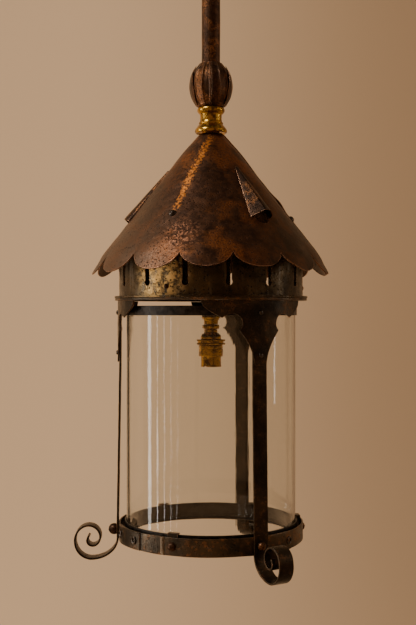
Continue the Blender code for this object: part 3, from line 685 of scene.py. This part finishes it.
def make_bud_leaf(name, node, middle):
    """A pointed leaf that lies on the knop's side, with its tip standing off."""
    columns = 28
    curve = knop_curve(10)
    rows = 44

    def place(column, row):
        rise = row / rows
        radius, height = curve[round((0.97 - 0.84 * rise) * (len(curve) - 1))]
        across = 2 * column / columns - 1
        width = max(40 * (1 - rise ** 2.2) * (0.55 + 0.45 * sin(pi * rise)), 0.6)
        rib = 0.6 * exp(-(across * width / 3.0) ** 2)
        stand_off = 1.7 + 1.0 * rise ** 4 + 0.3 * across ** 2
        point = around(middle + across * width, radius + stand_off + rib, height, KNOP_TOP)
        return point + point.normalized() * ripple(point, 150, 0.15) * MM

    piece = add_piece(name, grid_mesh(name, columns, rows, place), "copper", node, sharp=60)
    thicken(piece, 0.9, 1, 0.2)


def make_knop():
    make_knop_half("knop_shell_right", "knop_half_right", 0)
    make_knop_half("knop_shell_left", "knop_half_left", 180)
    for side, azimuth in zip(("left", "right"), BUD_LEAF_AZIMUTHS):
        make_bud_leaf("knop_leaf_" + side, "bud_leaf_" + side, azimuth)


def make_collar():
    """Bead, groove, neck, ridge and flare, over a hollow that sits on the roof's apex."""
    outside = curved(((15.2, 0), (17.2, -0.8), (18.6, -3.4), (18.5, -6.0), (17.0, -8.2), (15.5, -9.6)), 6)
    outside += curved(((14.9, -10.2), (14.6, -14), (14.9, -18.5), (15.6, -20.8)), 6)
    outside += curved(((16.4, -21.2), (16.6, -22.4), (16.0, -23.4)), 4)
    outside += curved(((16.6, -24.4), (18.8, -27.0), (21.2, -30.2), (21.9, -32.6), (21.4, -34.6),
                       (20.3, -35.6)), 6)
    inside = [Vector(point) for point in ((17.5, -33.5), (12, -33.5), (12, -37.7), (5.6, -37.7), (5.6, 0))]
    mesh = lathe_mesh("collar", outside + inside, COLLAR_TOP, 96)
    add_piece("collar_turning", mesh, "collar_brass", "collar", sharp=50)


# ---- Roof ----

ROOF_PROFILE = ((14.3, 241), (43.5, 207), (81, 158), (111, 120), (134, 91), (146.5, 74))
LOBE_TIP = (159.3, 50)
TRIMMED_SIDE = 6          # azimuth where the lobes were cut shortest
TRIM = 0.29               # share of a lobe's reach that is missing there
SEAM_AZIMUTH = 97
LOBE_COLUMNS = 24
RIVET_RADIUS = 107
VENT_RADIUS = 56.5        # from the axis to a hood's closed end
VENT_LENGTH = 88
VENT_HALF_WIDTH = 15.5
VENT_HOLE = (30, 99, 11)  # start and end of the hole under a hood, down the slope, and half width
VENTS = ((35, 15), (157, 12), (275, 8))      # azimuth, and height of the ridge over the mouth

SLOPE = [Vector((6.5, 241))] + curved(ROOF_PROFILE, 10)


def slope_length():
    return sum((end - start).length for start, end in zip(SLOPE, SLOPE[1:]))


def slope_point(distance):
    """The (radius, height) at a distance down the slope, and the direction out of it there."""
    for start, end in zip(SLOPE, SLOPE[1:]):
        run = (end - start).length
        if distance <= run:
            along = (end - start) / run
            return start + along * distance, Vector((-along.y, along.x))
        distance -= run
    along = (Vector(LOBE_TIP) - SLOPE[-1]).normalized()
    return SLOPE[-1] + along * distance, Vector((-along.y, along.x))


def roof_height(radius):
    for start, end in zip(SLOPE[1:], SLOPE[2:]):
        if radius <= end.x:
            break
    return start.y + (end.y - start.y) * (radius - start.x) / (end.x - start.x)


def lobe_fraction(across):
    """How far a lobe reaches below the cusps: 0 at a cusp, across -1 or 1, and 1 at its tip, 0."""
    half_width = 34
    depth = 25
    arc_radius = (half_width ** 2 + depth ** 2) / (2 * depth)
    return (sqrt(arc_radius ** 2 - (half_width * across) ** 2) - arc_radius + depth) / depth


def lobe_scale(azimuth):
    """The share of its full reach that a lobe has, which is least on the trimmed side."""
    return 1 - TRIM * max(cos(radians(azimuth - TRIMMED_SIDE)), 0) ** 3


def smooth_step(value, start, end):
    t = min(max((value - start) / (end - start), 0), 1)
    return t * t * (3 - 2 * t)


def make_roof():
    """One sheet rolled into a cone, lapped and riveted at the seam, with its lobes cut out."""
    lap = 6
    columns = LOBES * LOBE_COLUMNS + lap
    rows = 64
    first = round((SEAM_AZIMUTH - FIRST_CUSP) / LOBE_ANGLE * LOBE_COLUMNS)
    full = slope_length()
    lobe = (Vector(LOBE_TIP) - SLOPE[-1]).length

    def place(column, row):
        step = first - column
        azimuth = FIRST_CUSP + LOBE_ANGLE * step / LOBE_COLUMNS
        reach = lobe_fraction(2 * (step % LOBE_COLUMNS) / LOBE_COLUMNS - 1) * lobe_scale(azimuth)
        distance = (full + lobe * reach) * row / rows
        (radius, height), out = slope_point(distance)
        point = around(azimuth, radius, height)
        over = smooth_step(columns - column, lap + 14, lap + 2) * (ROOF_SHEET + 0.2)
        loose = exp(-((radius - RIVET_RADIUS + 17) / 7) ** 2) * smooth_step(columns - column, 6, 0)
        edge = smooth_step(radius, 118, 150)
        dent = ripple(point, 20, 0.9) + ripple(point, 65, 0.35)
        dent += edge * (ripple(point, 33, 1.6) - 0.5 * (1 - reach) * edge)
        lift = over + 2.2 * loose + dent * smooth_step(radius, 12, 40)
        lift = min(lift, 4 - 2.6 * edge)
        return around(azimuth, radius + out.x * lift, height + out.y * lift)

    piece = add_piece("roof_cone", grid_mesh("roof_cone", columns, rows, place), "roof_copper", "roof")
    give_sheet(piece, ROOF_SHEET, -1)
    for azimuth, height in VENTS:
        cut(piece, prism_mesh("vent_hole", vent_hole_outline(), 20 * MM),
            roof_place(azimuth, VENT_RADIUS))
    soften(piece, 0.25)


def roof_place(azimuth, radius):
    """X down the roof's slope, Z straight out of it, with the origin on its outer surface."""
    step = 5
    drop = roof_height(radius) - roof_height(radius + step)
    spot = Matrix.Translation((radius * MM, 0, EYE_LEVEL + roof_height(radius) * MM))
    return turn(azimuth) @ spot @ Matrix.Rotation(atan2(drop, step), 4, "Y")


def vent_hole_outline():
    start, end, half_width = (size * MM for size in VENT_HOLE)
    turns = [pi / 2 + pi * i / 16 for i in range(17)]
    outline = [(start + half_width * (1 + cos(a)), half_width * sin(a)) for a in turns]
    return outline + [(end - half_width * (1 + cos(a)), -half_width * sin(a)) for a in turns]


def make_vent(name, node, azimuth, ridge):
    """A folded hood: a flat left face, a crease, and a rolled right side down to the roof."""
    columns = 40
    rows = 44
    fold = 18

    def place(column, row):
        down = row / rows
        half = 1.4 + (VENT_HALF_WIDTH - 1.4) * down
        high = 0.8 + (ridge - 0.8) * down
        if column <= fold:
            t = column / fold
            side, rise = -half + 0.93 * half * t, high * t ** 0.9
        else:
            angle = pi / 2 * (1 - (column - fold) / (columns - fold))
            side, rise = -0.07 * half + 1.07 * half * cos(angle), high * sin(angle)
        point = Vector((VENT_LENGTH * down * MM, side * MM, (rise + 0.9) * MM))
        point += noise.noise_vector(point * 70 + Vector((azimuth, 0, 0))) * 0.5 * down * MM
        return roof_place(azimuth, VENT_RADIUS) @ point

    piece = add_piece(name, grid_mesh(name, columns, rows, place), "hood_copper", node, sharp=50)
    thicken(piece, 1.1, -1, 0.2)


def make_roof_fittings():
    for number, (azimuth, ridge) in enumerate(VENTS, 1):
        make_vent(f"vent_hood_{number}", f"roof_vent_{number}", azimuth, ridge)
    slope = degrees(atan2(23, 29))
    for number, azimuth in enumerate(ROOF_RIVET_AZIMUTHS, 1):
        keep(f"roof_tab_{number}", "bronze")
        proud = ROOF_SHEET + 0.3 if azimuth == LAP_RIVET else 0
        foot = (RIVET_RADIUS + 0.78 * proud, roof_height(RIVET_RADIUS) + 0.62 * proud)
        add_rivet(f"roof_stud_{number}", "steel_rivet", azimuth, foot, slope, (5.2, 5.0),
                  f"roof_rivet_{number}", washer=7.0)


# ---- Gallery and frame ----

SLOT_BOTTOM = 34
SLOT_TOP = 84
SLOT_HALF_WIDTH = 3.7
SLOT_BULB = 4.6
RIM_HEIGHT = 22           # top of the rim flange
FRAME_HEIGHT = 16         # underside of the frame flange
BRACKET_RADIUS = 124.8
BRACKET_SHEET = 1.5


def keyhole_outline():
    shoulder = sqrt(SLOT_BULB ** 2 - SLOT_HALF_WIDTH ** 2)
    level = SLOT_BOTTOM + SLOT_BULB
    start = atan2(shoulder, SLOT_HALF_WIDTH)
    turns = [start - (pi + 2 * start) * i / 20 for i in range(21)]
    outline = [(SLOT_BULB * cos(a), level + SLOT_BULB * sin(a)) for a in turns]
    outline += [(-SLOT_HALF_WIDTH * cos(pi * i / 10),
                 SLOT_TOP - SLOT_HALF_WIDTH * (1 - sin(pi * i / 10))) for i in range(11)]
    return [(x * MM, y * MM) for x, y in outline]


def make_gallery():
    rim = GALLERY_RADIUS
    profile = rounded(((rim, 95), (rim, RIM_HEIGHT), (130.5, RIM_HEIGHT), (130.5, RIM_HEIGHT - 2.8),
                       (rim - SHEET, RIM_HEIGHT - 2.8), (rim - SHEET, 95)), 0.7)

    def uneven(azimuth, radius, height):
        point = around(azimuth, radius, height)
        return ripple(point, 28, 0.5) + ripple(point, 90, 0.22)

    mesh = lathe_mesh("gallery", divided(profile, 4.5), steps=LOBES * 16, uneven=uneven)
    piece = add_piece("gallery_drum", mesh, "gallery_bronze", "gallery")
    for i in range(LOBES):
        cut(piece, prism_mesh("keyhole", keyhole_outline(), 12 * MM),
            facing(FIRST_CUSP + LOBE_ANGLE * i, GALLERY_RADIUS, 0))
    piece.modifiers.new("shading", "WEIGHTED_NORMAL").keep_sharp = True
    for number, azimuth in enumerate(ROOF_RIVET_AZIMUTHS, 1):
        add_rivet(f"gallery_stud_{number}", "copper", azimuth, (GALLERY_RADIUS, 33), 0, (3.4, 2.2),
                  f"gallery_rivet_{number}")


def make_frame_flange():
    profile = rounded(((130, FRAME_HEIGHT + 2.9), (130, FRAME_HEIGHT), (120, FRAME_HEIGHT),
                       (120, FRAME_HEIGHT + 2.9)), 0.6)

    def uneven(azimuth, radius, height):
        return ripple(around(azimuth, radius, height), 60, 0.45) if radius > 125 else 0

    mesh = lathe_mesh("flange", profile, steps=192, uneven=uneven)
    add_piece("frame_ring", mesh, "flange_bronze", "frame_flange")


# A spandrel plate's right edge, as (degrees from its leg, millimetres below the flange).
BRACKET_EDGE = ((3.8, 82), (5.1, 68), (7.1, 58), (9.6, 48.5), (13.2, 38.3), (11.8, 34), (11.3, 29.5),
                (12.2, 23), (13.9, 19.2), (16.5, 17.2), (19.8, 17.6), (23.5, 22.3), (28.6, 16.2),
                (32, 11.5), (34.3, 7), (35.3, 1.2))
SHOULDER = 4              # the two sharp corners among its points
CUSP = 11


def bracket_outline():
    radius = BRACKET_RADIUS + BRACKET_SHEET / 2
    edge = (curved(BRACKET_EDGE[:SHOULDER + 1], 6) + curved(BRACKET_EDGE[SHOULDER:CUSP + 1], 6)[1:]
            + curved(BRACKET_EDGE[CUSP:], 6)[1:])
    right = [(radius * sin(radians(point.x)) * MM, -point.y * MM) for point in edge]
    left = [(-x, y) for x, y in reversed(right)]
    over = 5 * MM
    return right + [(right[-1][0], over), (left[0][0], over)] + left


def make_bracket(name, node, azimuth):
    columns = 76
    rows = 34
    widest = 38
    height = FRAME_HEIGHT - 0.3

    def place(column, row):
        side = azimuth + widest * (2 * column / columns - 1)
        level = height - 85 * (1 - row / rows)
        point = around(side, BRACKET_RADIUS, level)
        lift = ripple(point, 40, 0.5) + ripple(point, 110, 0.25)
        return around(side, BRACKET_RADIUS + lift, level)

    piece = add_piece(name, grid_mesh(name, columns, rows, place), "bronze", node)
    give_sheet(piece, BRACKET_SHEET, 1)
    cut(piece, prism_mesh("outline", bracket_outline(), 120 * MM),
        facing(azimuth, BRACKET_RADIUS + 1, height), "INTERSECT")
    soften(piece, 0.35)


LEG_WIDTH = 20.4
LEG_THICKNESS = 2.6
LEG_TOP_RADIUS = 122.8
LEG_FOOT_RADIUS = 126.1
SCROLL_CENTRE = (162.4, -305)
SCROLL_RADIUS = 26.7
SCROLL_SQUEEZE = 0.95     # a scroll's width over its height
SCROLL_QUARTERS = 5
SCROLL_REACH = 5.95       # quarter turns at which the scroll would close
LEG_BALLS = ((5.6, 6), (6, 7), (7.5, 11.2))   # radius and height of the rivet heads on the legs


def leg_route():
    """A leg's centre line: straight behind the bracket, splayed to the band, then a scroll."""
    foot = -303.5
    centre_radius, centre_height = SCROLL_CENTRE
    straight = ((LEG_TOP_RADIUS, FRAME_HEIGHT - 0.3), (LEG_TOP_RADIUS, FRAME_HEIGHT - 86),
                (LEG_FOOT_RADIUS, -275.5), (LEG_FOOT_RADIUS, foot))
    route = []
    for start, end in zip(straight, straight[1:]):
        count = round(hypot(end[0] - start[0], end[1] - start[1]) / 6)
        route += [Vector(start).lerp(Vector(end), i / count) for i in range(count)]
    sweep = 16
    for i in range(sweep):
        angle = pi / 2 * i / sweep
        across = (centre_radius - LEG_FOOT_RADIUS) * cos(angle)
        down = (SCROLL_RADIUS + foot - centre_height) * sin(angle)
        route.append(Vector((centre_radius - across, foot - down)))
    per_quarter = 16
    for i in range(SCROLL_QUARTERS * per_quarter + 1):
        quarters = i / per_quarter
        radius = SCROLL_RADIUS * (1 - quarters / SCROLL_REACH)
        angle = pi / 2 * (quarters - 1)
        route.append(Vector((centre_radius + SCROLL_SQUEEZE * radius * cos(angle),
                             centre_height + radius * sin(angle))))
    tip = route[-1]
    return route + [tip + Vector((-0.3, 1.3)), tip + Vector((-1.0, 2.7)), tip + Vector((-2, 4))]


def make_frame():
    make_frame_flange()
    face = BRACKET_RADIUS + BRACKET_SHEET
    for number, azimuth in enumerate(LEG_AZIMUTHS, 1):
        make_bracket(f"spandrel_{number}", f"bracket_{number}", azimuth)
        mesh = bar_mesh("leg", leg_route(), LEG_WIDTH, LEG_THICKNESS, azimuth)
        add_piece(f"scroll_leg_{number}", mesh, "bronze", f"leg_{number}")
        for place, drop in (("top", 16), ("low", 70)):
            add_rivet(f"spandrel_stud_{place}_{number}", "steel_rivet", azimuth,
                      (face, FRAME_HEIGHT - drop), 0, (3.2, 2.2), f"bracket_rivet_{place}_{number}")
        add_rivet(f"leg_ball_{number}", "copper", azimuth,
                  (LEG_FOOT_RADIUS + LEG_THICKNESS / 2, BAND_RIVET_HEIGHT), 0, LEG_BALLS[number - 1],
                  f"leg_rivet_{number}")


# ---- Band, glass and what holds it ----

BAND_TOP = -281.5
BAND_HEIGHT = 23.1
SEAMS = (-47, 55, 175)    # free ends of the band's three laps
LAP = 27                  # degrees that one strap of the band tucks under the next
EYELETS = (-72, -52.2, 52.7, 170)
BRAZING = -29.6           # azimuth of the brazed bead on the front


def band_strap(start, end, upper=1.5):
    """The mesh data of one strap, from under the last one's free end to its own free end."""
    count = round((end - start + LAP) / 1.5)
    half = SHEET / 2
    section = rounded(((half, 0), (half, -BAND_HEIGHT), (-half, -BAND_HEIGHT), (-half, 0)), 0.6)
    section = divided(section, 4)

    def place(column, row):
        azimuth = start - LAP + (end - start + LAP) * column / count
        over = upper * smooth_step(azimuth, end - LAP - 9, end - LAP - 1)
        point = around(azimuth, BAND_RADIUS, BAND_TOP + section[row].y)
        dent = ripple(point, 50, 0.5) + ripple(point + Vector((azimuth > end - LAP, 0, 0)), 140, 0.2)
        radius = BAND_RADIUS - half + section[row].x + over + dent
        height = BAND_TOP + section[row].y + ripple(point, 35, 0.4)
        return around(azimuth, radius, height)

    return grid_mesh("strap", count, len(section), place, tube=True, caps=True)


def make_band():
    bm = bmesh.new()
    for i, end in enumerate(SEAMS):
        start = SEAMS[i - 1] - (360 if i == 0 else 0)
        bm.from_mesh(band_strap(start, end))
    mesh = bpy.data.meshes.new("band")
    bm.to_mesh(mesh)
    bm.free()
    add_piece("band_straps", mesh, "band_bronze", "lower_band")
    for number, azimuth in enumerate(EYELETS, 1):
        make_eyelet(f"band_eyelet_{number}", azimuth)
    make_solder_seam()
    for number, azimuth in enumerate(CLIP_AZIMUTHS, 1):
        keep(f"glass_clip_{number}", "bronze")
        add_rivet(f"clip_dome_{number}", "copper", azimuth, (BAND_RADIUS, BAND_RIVET_HEIGHT), 0,
                  (5.7, 4.8), f"clip_rivet_{number}")


def make_eyelet(name, azimuth):
    """A rolled tubular rivet through a lap."""
    turns = [2 * pi * i / 16 for i in range(16)]
    profile = [(3.9 + 1.3 * cos(a), 0.4 - 1.1 * sin(a)) for a in turns]

    def place(column, row):
        angle = 2 * pi * column / 32
        radius, height = profile[row]
        return Vector((radius * MM * cos(angle), radius * MM * sin(angle), height * MM))

    mesh = grid_mesh(name, 32, 16, place, ring=True, tube=True)
    stand = Matrix.Translation(((BAND_RADIUS + 1.6) * MM, 0, EYE_LEVEL + BAND_RIVET_HEIGHT * MM))
    mesh.transform(turn(azimuth) @ stand @ Matrix.Rotation(radians(90), 4, "Y"))
    add_piece(name, mesh, "steel_rivet")


def make_solder_seam():
    """A rubbed bead of brazing down the band, left of the front clip's rivet."""

    def place(column, row):
        across = 2 * column / 10 - 1
        height = BAND_TOP - 0.3 - (BAND_HEIGHT - 0.6) * row / 20
        point = around(BRAZING + 1.2 * across, BAND_RADIUS, height)
        swell = 0.75 * sqrt(max(0, 1 - across ** 2)) - 0.2 + ripple(point, 300, 0.3)
        return around(BRAZING + 1.2 * across, BAND_RADIUS + swell, height)

    piece = add_piece("band_brazing", grid_mesh("band_brazing", 10, 20, place), "brazing")
    thicken(piece, 0.6, 1, 0.1)


GLASS_RADIUS = 114.5
GLASS_WALL = 3.0


def make_glass_set():
    wall = rounded(((GLASS_RADIUS, 5.8), (GLASS_RADIUS, -298.4), (GLASS_RADIUS - GLASS_WALL, -298.4),
                    (GLASS_RADIUS - GLASS_WALL, 5.8)), 0.9)
    mesh = lathe_mesh("glass", divided(wall, 5), steps=192)
    add_piece("glass_chimney", mesh, "glass", "glass_cylinder")
    top_ring = rounded(((116.4, 8.8), (116.4, -3.7), (114.9, -3.7), (114.9, 6.2), (108.5, 6.2),
                        (108.5, 8.8)), 0.5)
    add_piece("glass_rim_ring", lathe_mesh("rim", top_ring, steps=192), "black_steel", "glass_top_ring")
    seat = rounded(((116.8, -279), (116.8, -301.2), (111.5, -301.2), (111.5, -298.8), (115, -298.8),
                    (115, -279)), 0.5)
    add_piece("glass_seat", lathe_mesh("seat", seat, steps=192), "black_steel", "glass_seat_ring")


# ---- Lampholder ----

HOLDER_BORE = 5.6
SKIRT_RADIUS = 13.5


def holder_part(name, node, profile, fillet=0.5, steps=96, body="lantern", uneven=None):
    mesh = lathe_mesh(name, rounded(profile, fillet), steps=steps, uneven=uneven)
    return add_piece(name, mesh, "holder_brass", node, body)


def knurl(azimuth, radius, height):
    """Fine upright ribs round the shade ring."""
    return 0.22 * cos(radians(72 * azimuth)) if radius > 18.3 else 0


def make_lampholder():
    bore = HOLDER_BORE
    holder_part("entry_nut", "holder_entry_nut",
                ((9, -2.7), (11.6, -3.6), (12.4, -6.6), (11.4, -9.4), (9.4, -10.6), (9.4, -16),
                 (bore, -16), (bore, -2.7)), 1.4)
    holder_part("lock_nut", "holder_lock_nut",
                ((10.0, -16.3), (11.7, -17.6), (11.7, -21.2), (10.0, -22.5), (bore, -22.5),
                 (bore, -16.3)), 0.9)
    holder_part("holder_dome", "holder_cap",
                ((8.8, -22.8), (8.8, -27.6), (11.5, -29.2), (13.8, -32), (14.2, -34.6), (14.2, -36),
                 (12.6, -36), (12.6, -34), (8, -30.8), (bore, -30.4), (bore, -22.8)), 1.2)
    holder_part("shade_ring_knurled", "shade_ring",
                ((18.7, -36.6), (18.7, -38.6), (17.6, -39.2), (17.6, -41), (18.7, -41.6), (18.7, -43.6),
                 (15.9, -43.6), (15.9, -36.6)), 0.5, 288, "shade_ring", knurl)
    holder_part("holder_barrel", "holder_body",
                ((15.5, -36.3), (15.5, -44), (16.4, -44.6), (16.4, -48.2), (15.8, -48.8), (16.4, -49.4),
                 (16.4, -58.4), (15.2, -60), (13.9, -60), (13.9, -36.3)), 0.5)
    make_skirt()
    keep("stem", "holder_brass")
    keep("holder_core", "insulator", 0.4)
    keep("plunger_left", "holder_brass", 0.15)
    keep("plunger_right", "holder_brass", 0.15)


def make_skirt():
    """The socket's sleeve, with two bayonet slots: up from the rim, across, and a round seat."""
    rim, seat = -73.6, -66.5
    seat_radius = 3.1
    near_side, far_side = 3.4, 6.4      # of the channel up from the rim
    seat_azimuth = -14
    skirt = holder_part("holder_sleeve", "holder_skirt",
                        ((SKIRT_RADIUS, -36.6), (SKIRT_RADIUS, rim + 2.2), (SKIRT_RADIUS + 0.5, rim + 1.5),
                         (SKIRT_RADIUS + 0.5, rim), (12.2, rim), (12.2, -36.6)), 0.4)
    for side in (0, 180):
        turns = [pi / 2 + pi * i / 12 for i in range(13)]
        outline = [(seat_radius * cos(a), seat + seat_radius * sin(a)) for a in turns]
        outline += [(near_side, seat - seat_radius), (near_side, rim - 2), (far_side, rim - 2),
                    (far_side, seat + seat_radius)]
        scaled = [(-x * MM, y * MM) for x, y in reversed(outline)]
        cut(skirt, prism_mesh("bayonet", scaled, 8 * MM),
            facing(side + seat_azimuth, SKIRT_RADIUS, 0))


# ---- Camera, light and floor ----

CAMERA_SPOT = (-0.004, -1.417)


def make_camera():
    camera = bpy.data.objects.new("camera", bpy.data.cameras.new("camera"))
    SCENE.collection.objects.link(camera)
    camera.location = (*CAMERA_SPOT, EYE_LEVEL)
    camera.rotation_euler = (radians(90), 0, 0)
    camera.data.lens = 60
    camera.data.sensor_width = 36
    camera.data.clip_end = 200
    SCENE.camera = camera


def add_softbox(name, azimuth, distance, height, width, tall, power, colour):
    """A soft light that faces the lantern's middle."""
    light = bpy.data.lights.new(name, "AREA")
    light.shape = "RECTANGLE"
    light.size = width
    light.size_y = tall
    light.energy = power
    light.color = colour
    softbox = bpy.data.objects.new(name, light)
    SCENE.collection.objects.link(softbox)
    softbox.location = around(azimuth, distance / MM, height / MM)
    aim = Vector((0, 0, EYE_LEVEL - 0.05)) - softbox.location
    softbox.rotation_euler = aim.to_track_quat("-Z", "Y").to_euler()
    softbox.visible_transmission = False    # or it shows through the glass from the sides


DAYLIGHT = (1.0, 0.95, 0.87)
# Azimuth, width and power of the upright strips of light that the glass reflects on its left.
WINDOW_STRIPS = ((-88, 0.20, 10), (-74, 0.05, 2.6), (-63, 0.03, 1.2), (-53, 0.03, 1.0), (-44, 0.02, 0.5))


def make_studio():
    for azimuth, width, power in WINDOW_STRIPS:
        add_softbox(f"window_{-azimuth}", azimuth, 2.0, -0.05, width, 1.9, power, DAYLIGHT)
    add_softbox("window_high", -58, 1.7, 1.9, 0.8, 0.8, 27, DAYLIGHT)
    add_softbox("window_far", 92, 1.9, 0.35, 0.07, 1.3, 1.6, DAYLIGHT)
    add_softbox("fill", 70, 2.6, 0.9, 1.4, 1.4, 2, (1.0, 0.90, 0.78))
    world = bpy.data.worlds.new("studio")
    SCENE.world = world
    world.use_nodes = True
    background = world.node_tree.nodes["Background"]
    background.inputs["Color"].default_value = (0.17, 0.115, 0.07, 1)
    background.inputs["Strength"].default_value = 1.0


FLOOR_DROP = 1.1          # metres from the eye level down to the floor
STUDIO_RADIUS = 3.4
STUDIO_BEND = 1.2         # radius of the bend from the floor up to the wall


def glowing_wall(name):
    """Warm plaster that glows evenly behind the lantern, with painted light: dimmer at the right and at
    the front.
    """
    material, tree, shader, place = start_material(name)
    across, back, _ = axes(tree, place)
    # Painted light: the glow is strongest at the back left, less at the right and at the front.
    glow = product(tree, span(tree, back, -1.5, 1.5, 0.10, 0.44),
                 span(tree, across, -0.7, 1.1, 1.0, 0.32))
    wire(tree, shader, Base_Color=(0.42, 0.30, 0.19), Roughness=0.95, Specular_IOR_Level=0.1,
         Emission_Color=(1.0, 0.65, 0.36), Emission_Strength=glow)
    return material


def make_floor():
    """A round floor that bends up into a wall with no line between them."""
    bend = [(STUDIO_RADIUS - STUDIO_BEND * (1 - sin(pi / 2 * i / 12)),
             STUDIO_BEND * (1 - cos(pi / 2 * i / 12))) for i in range(13)]
    profile = [(0, 0)] + bend + [(STUDIO_RADIUS, 5)]

    def place(column, row):
        radius, height = profile[row]
        return around(360 * column / 64, radius / MM, (height - FLOOR_DROP) / MM)

    mesh = grid_mesh("floor", 64, len(profile) - 1, place, ring=True)
    mesh.materials.append(glowing_wall("floor"))
    mesh.shade_smooth()
    floor = bpy.data.objects.new("floor", mesh)
    SCENE.collection.objects.link(floor)


make_ceiling_fitting()
make_rod()
make_knop()
make_collar()
make_roof()
make_roof_fittings()
make_gallery()
make_frame()
make_band()
make_glass_set()
make_lampholder()
make_camera()
make_studio()
make_floor()
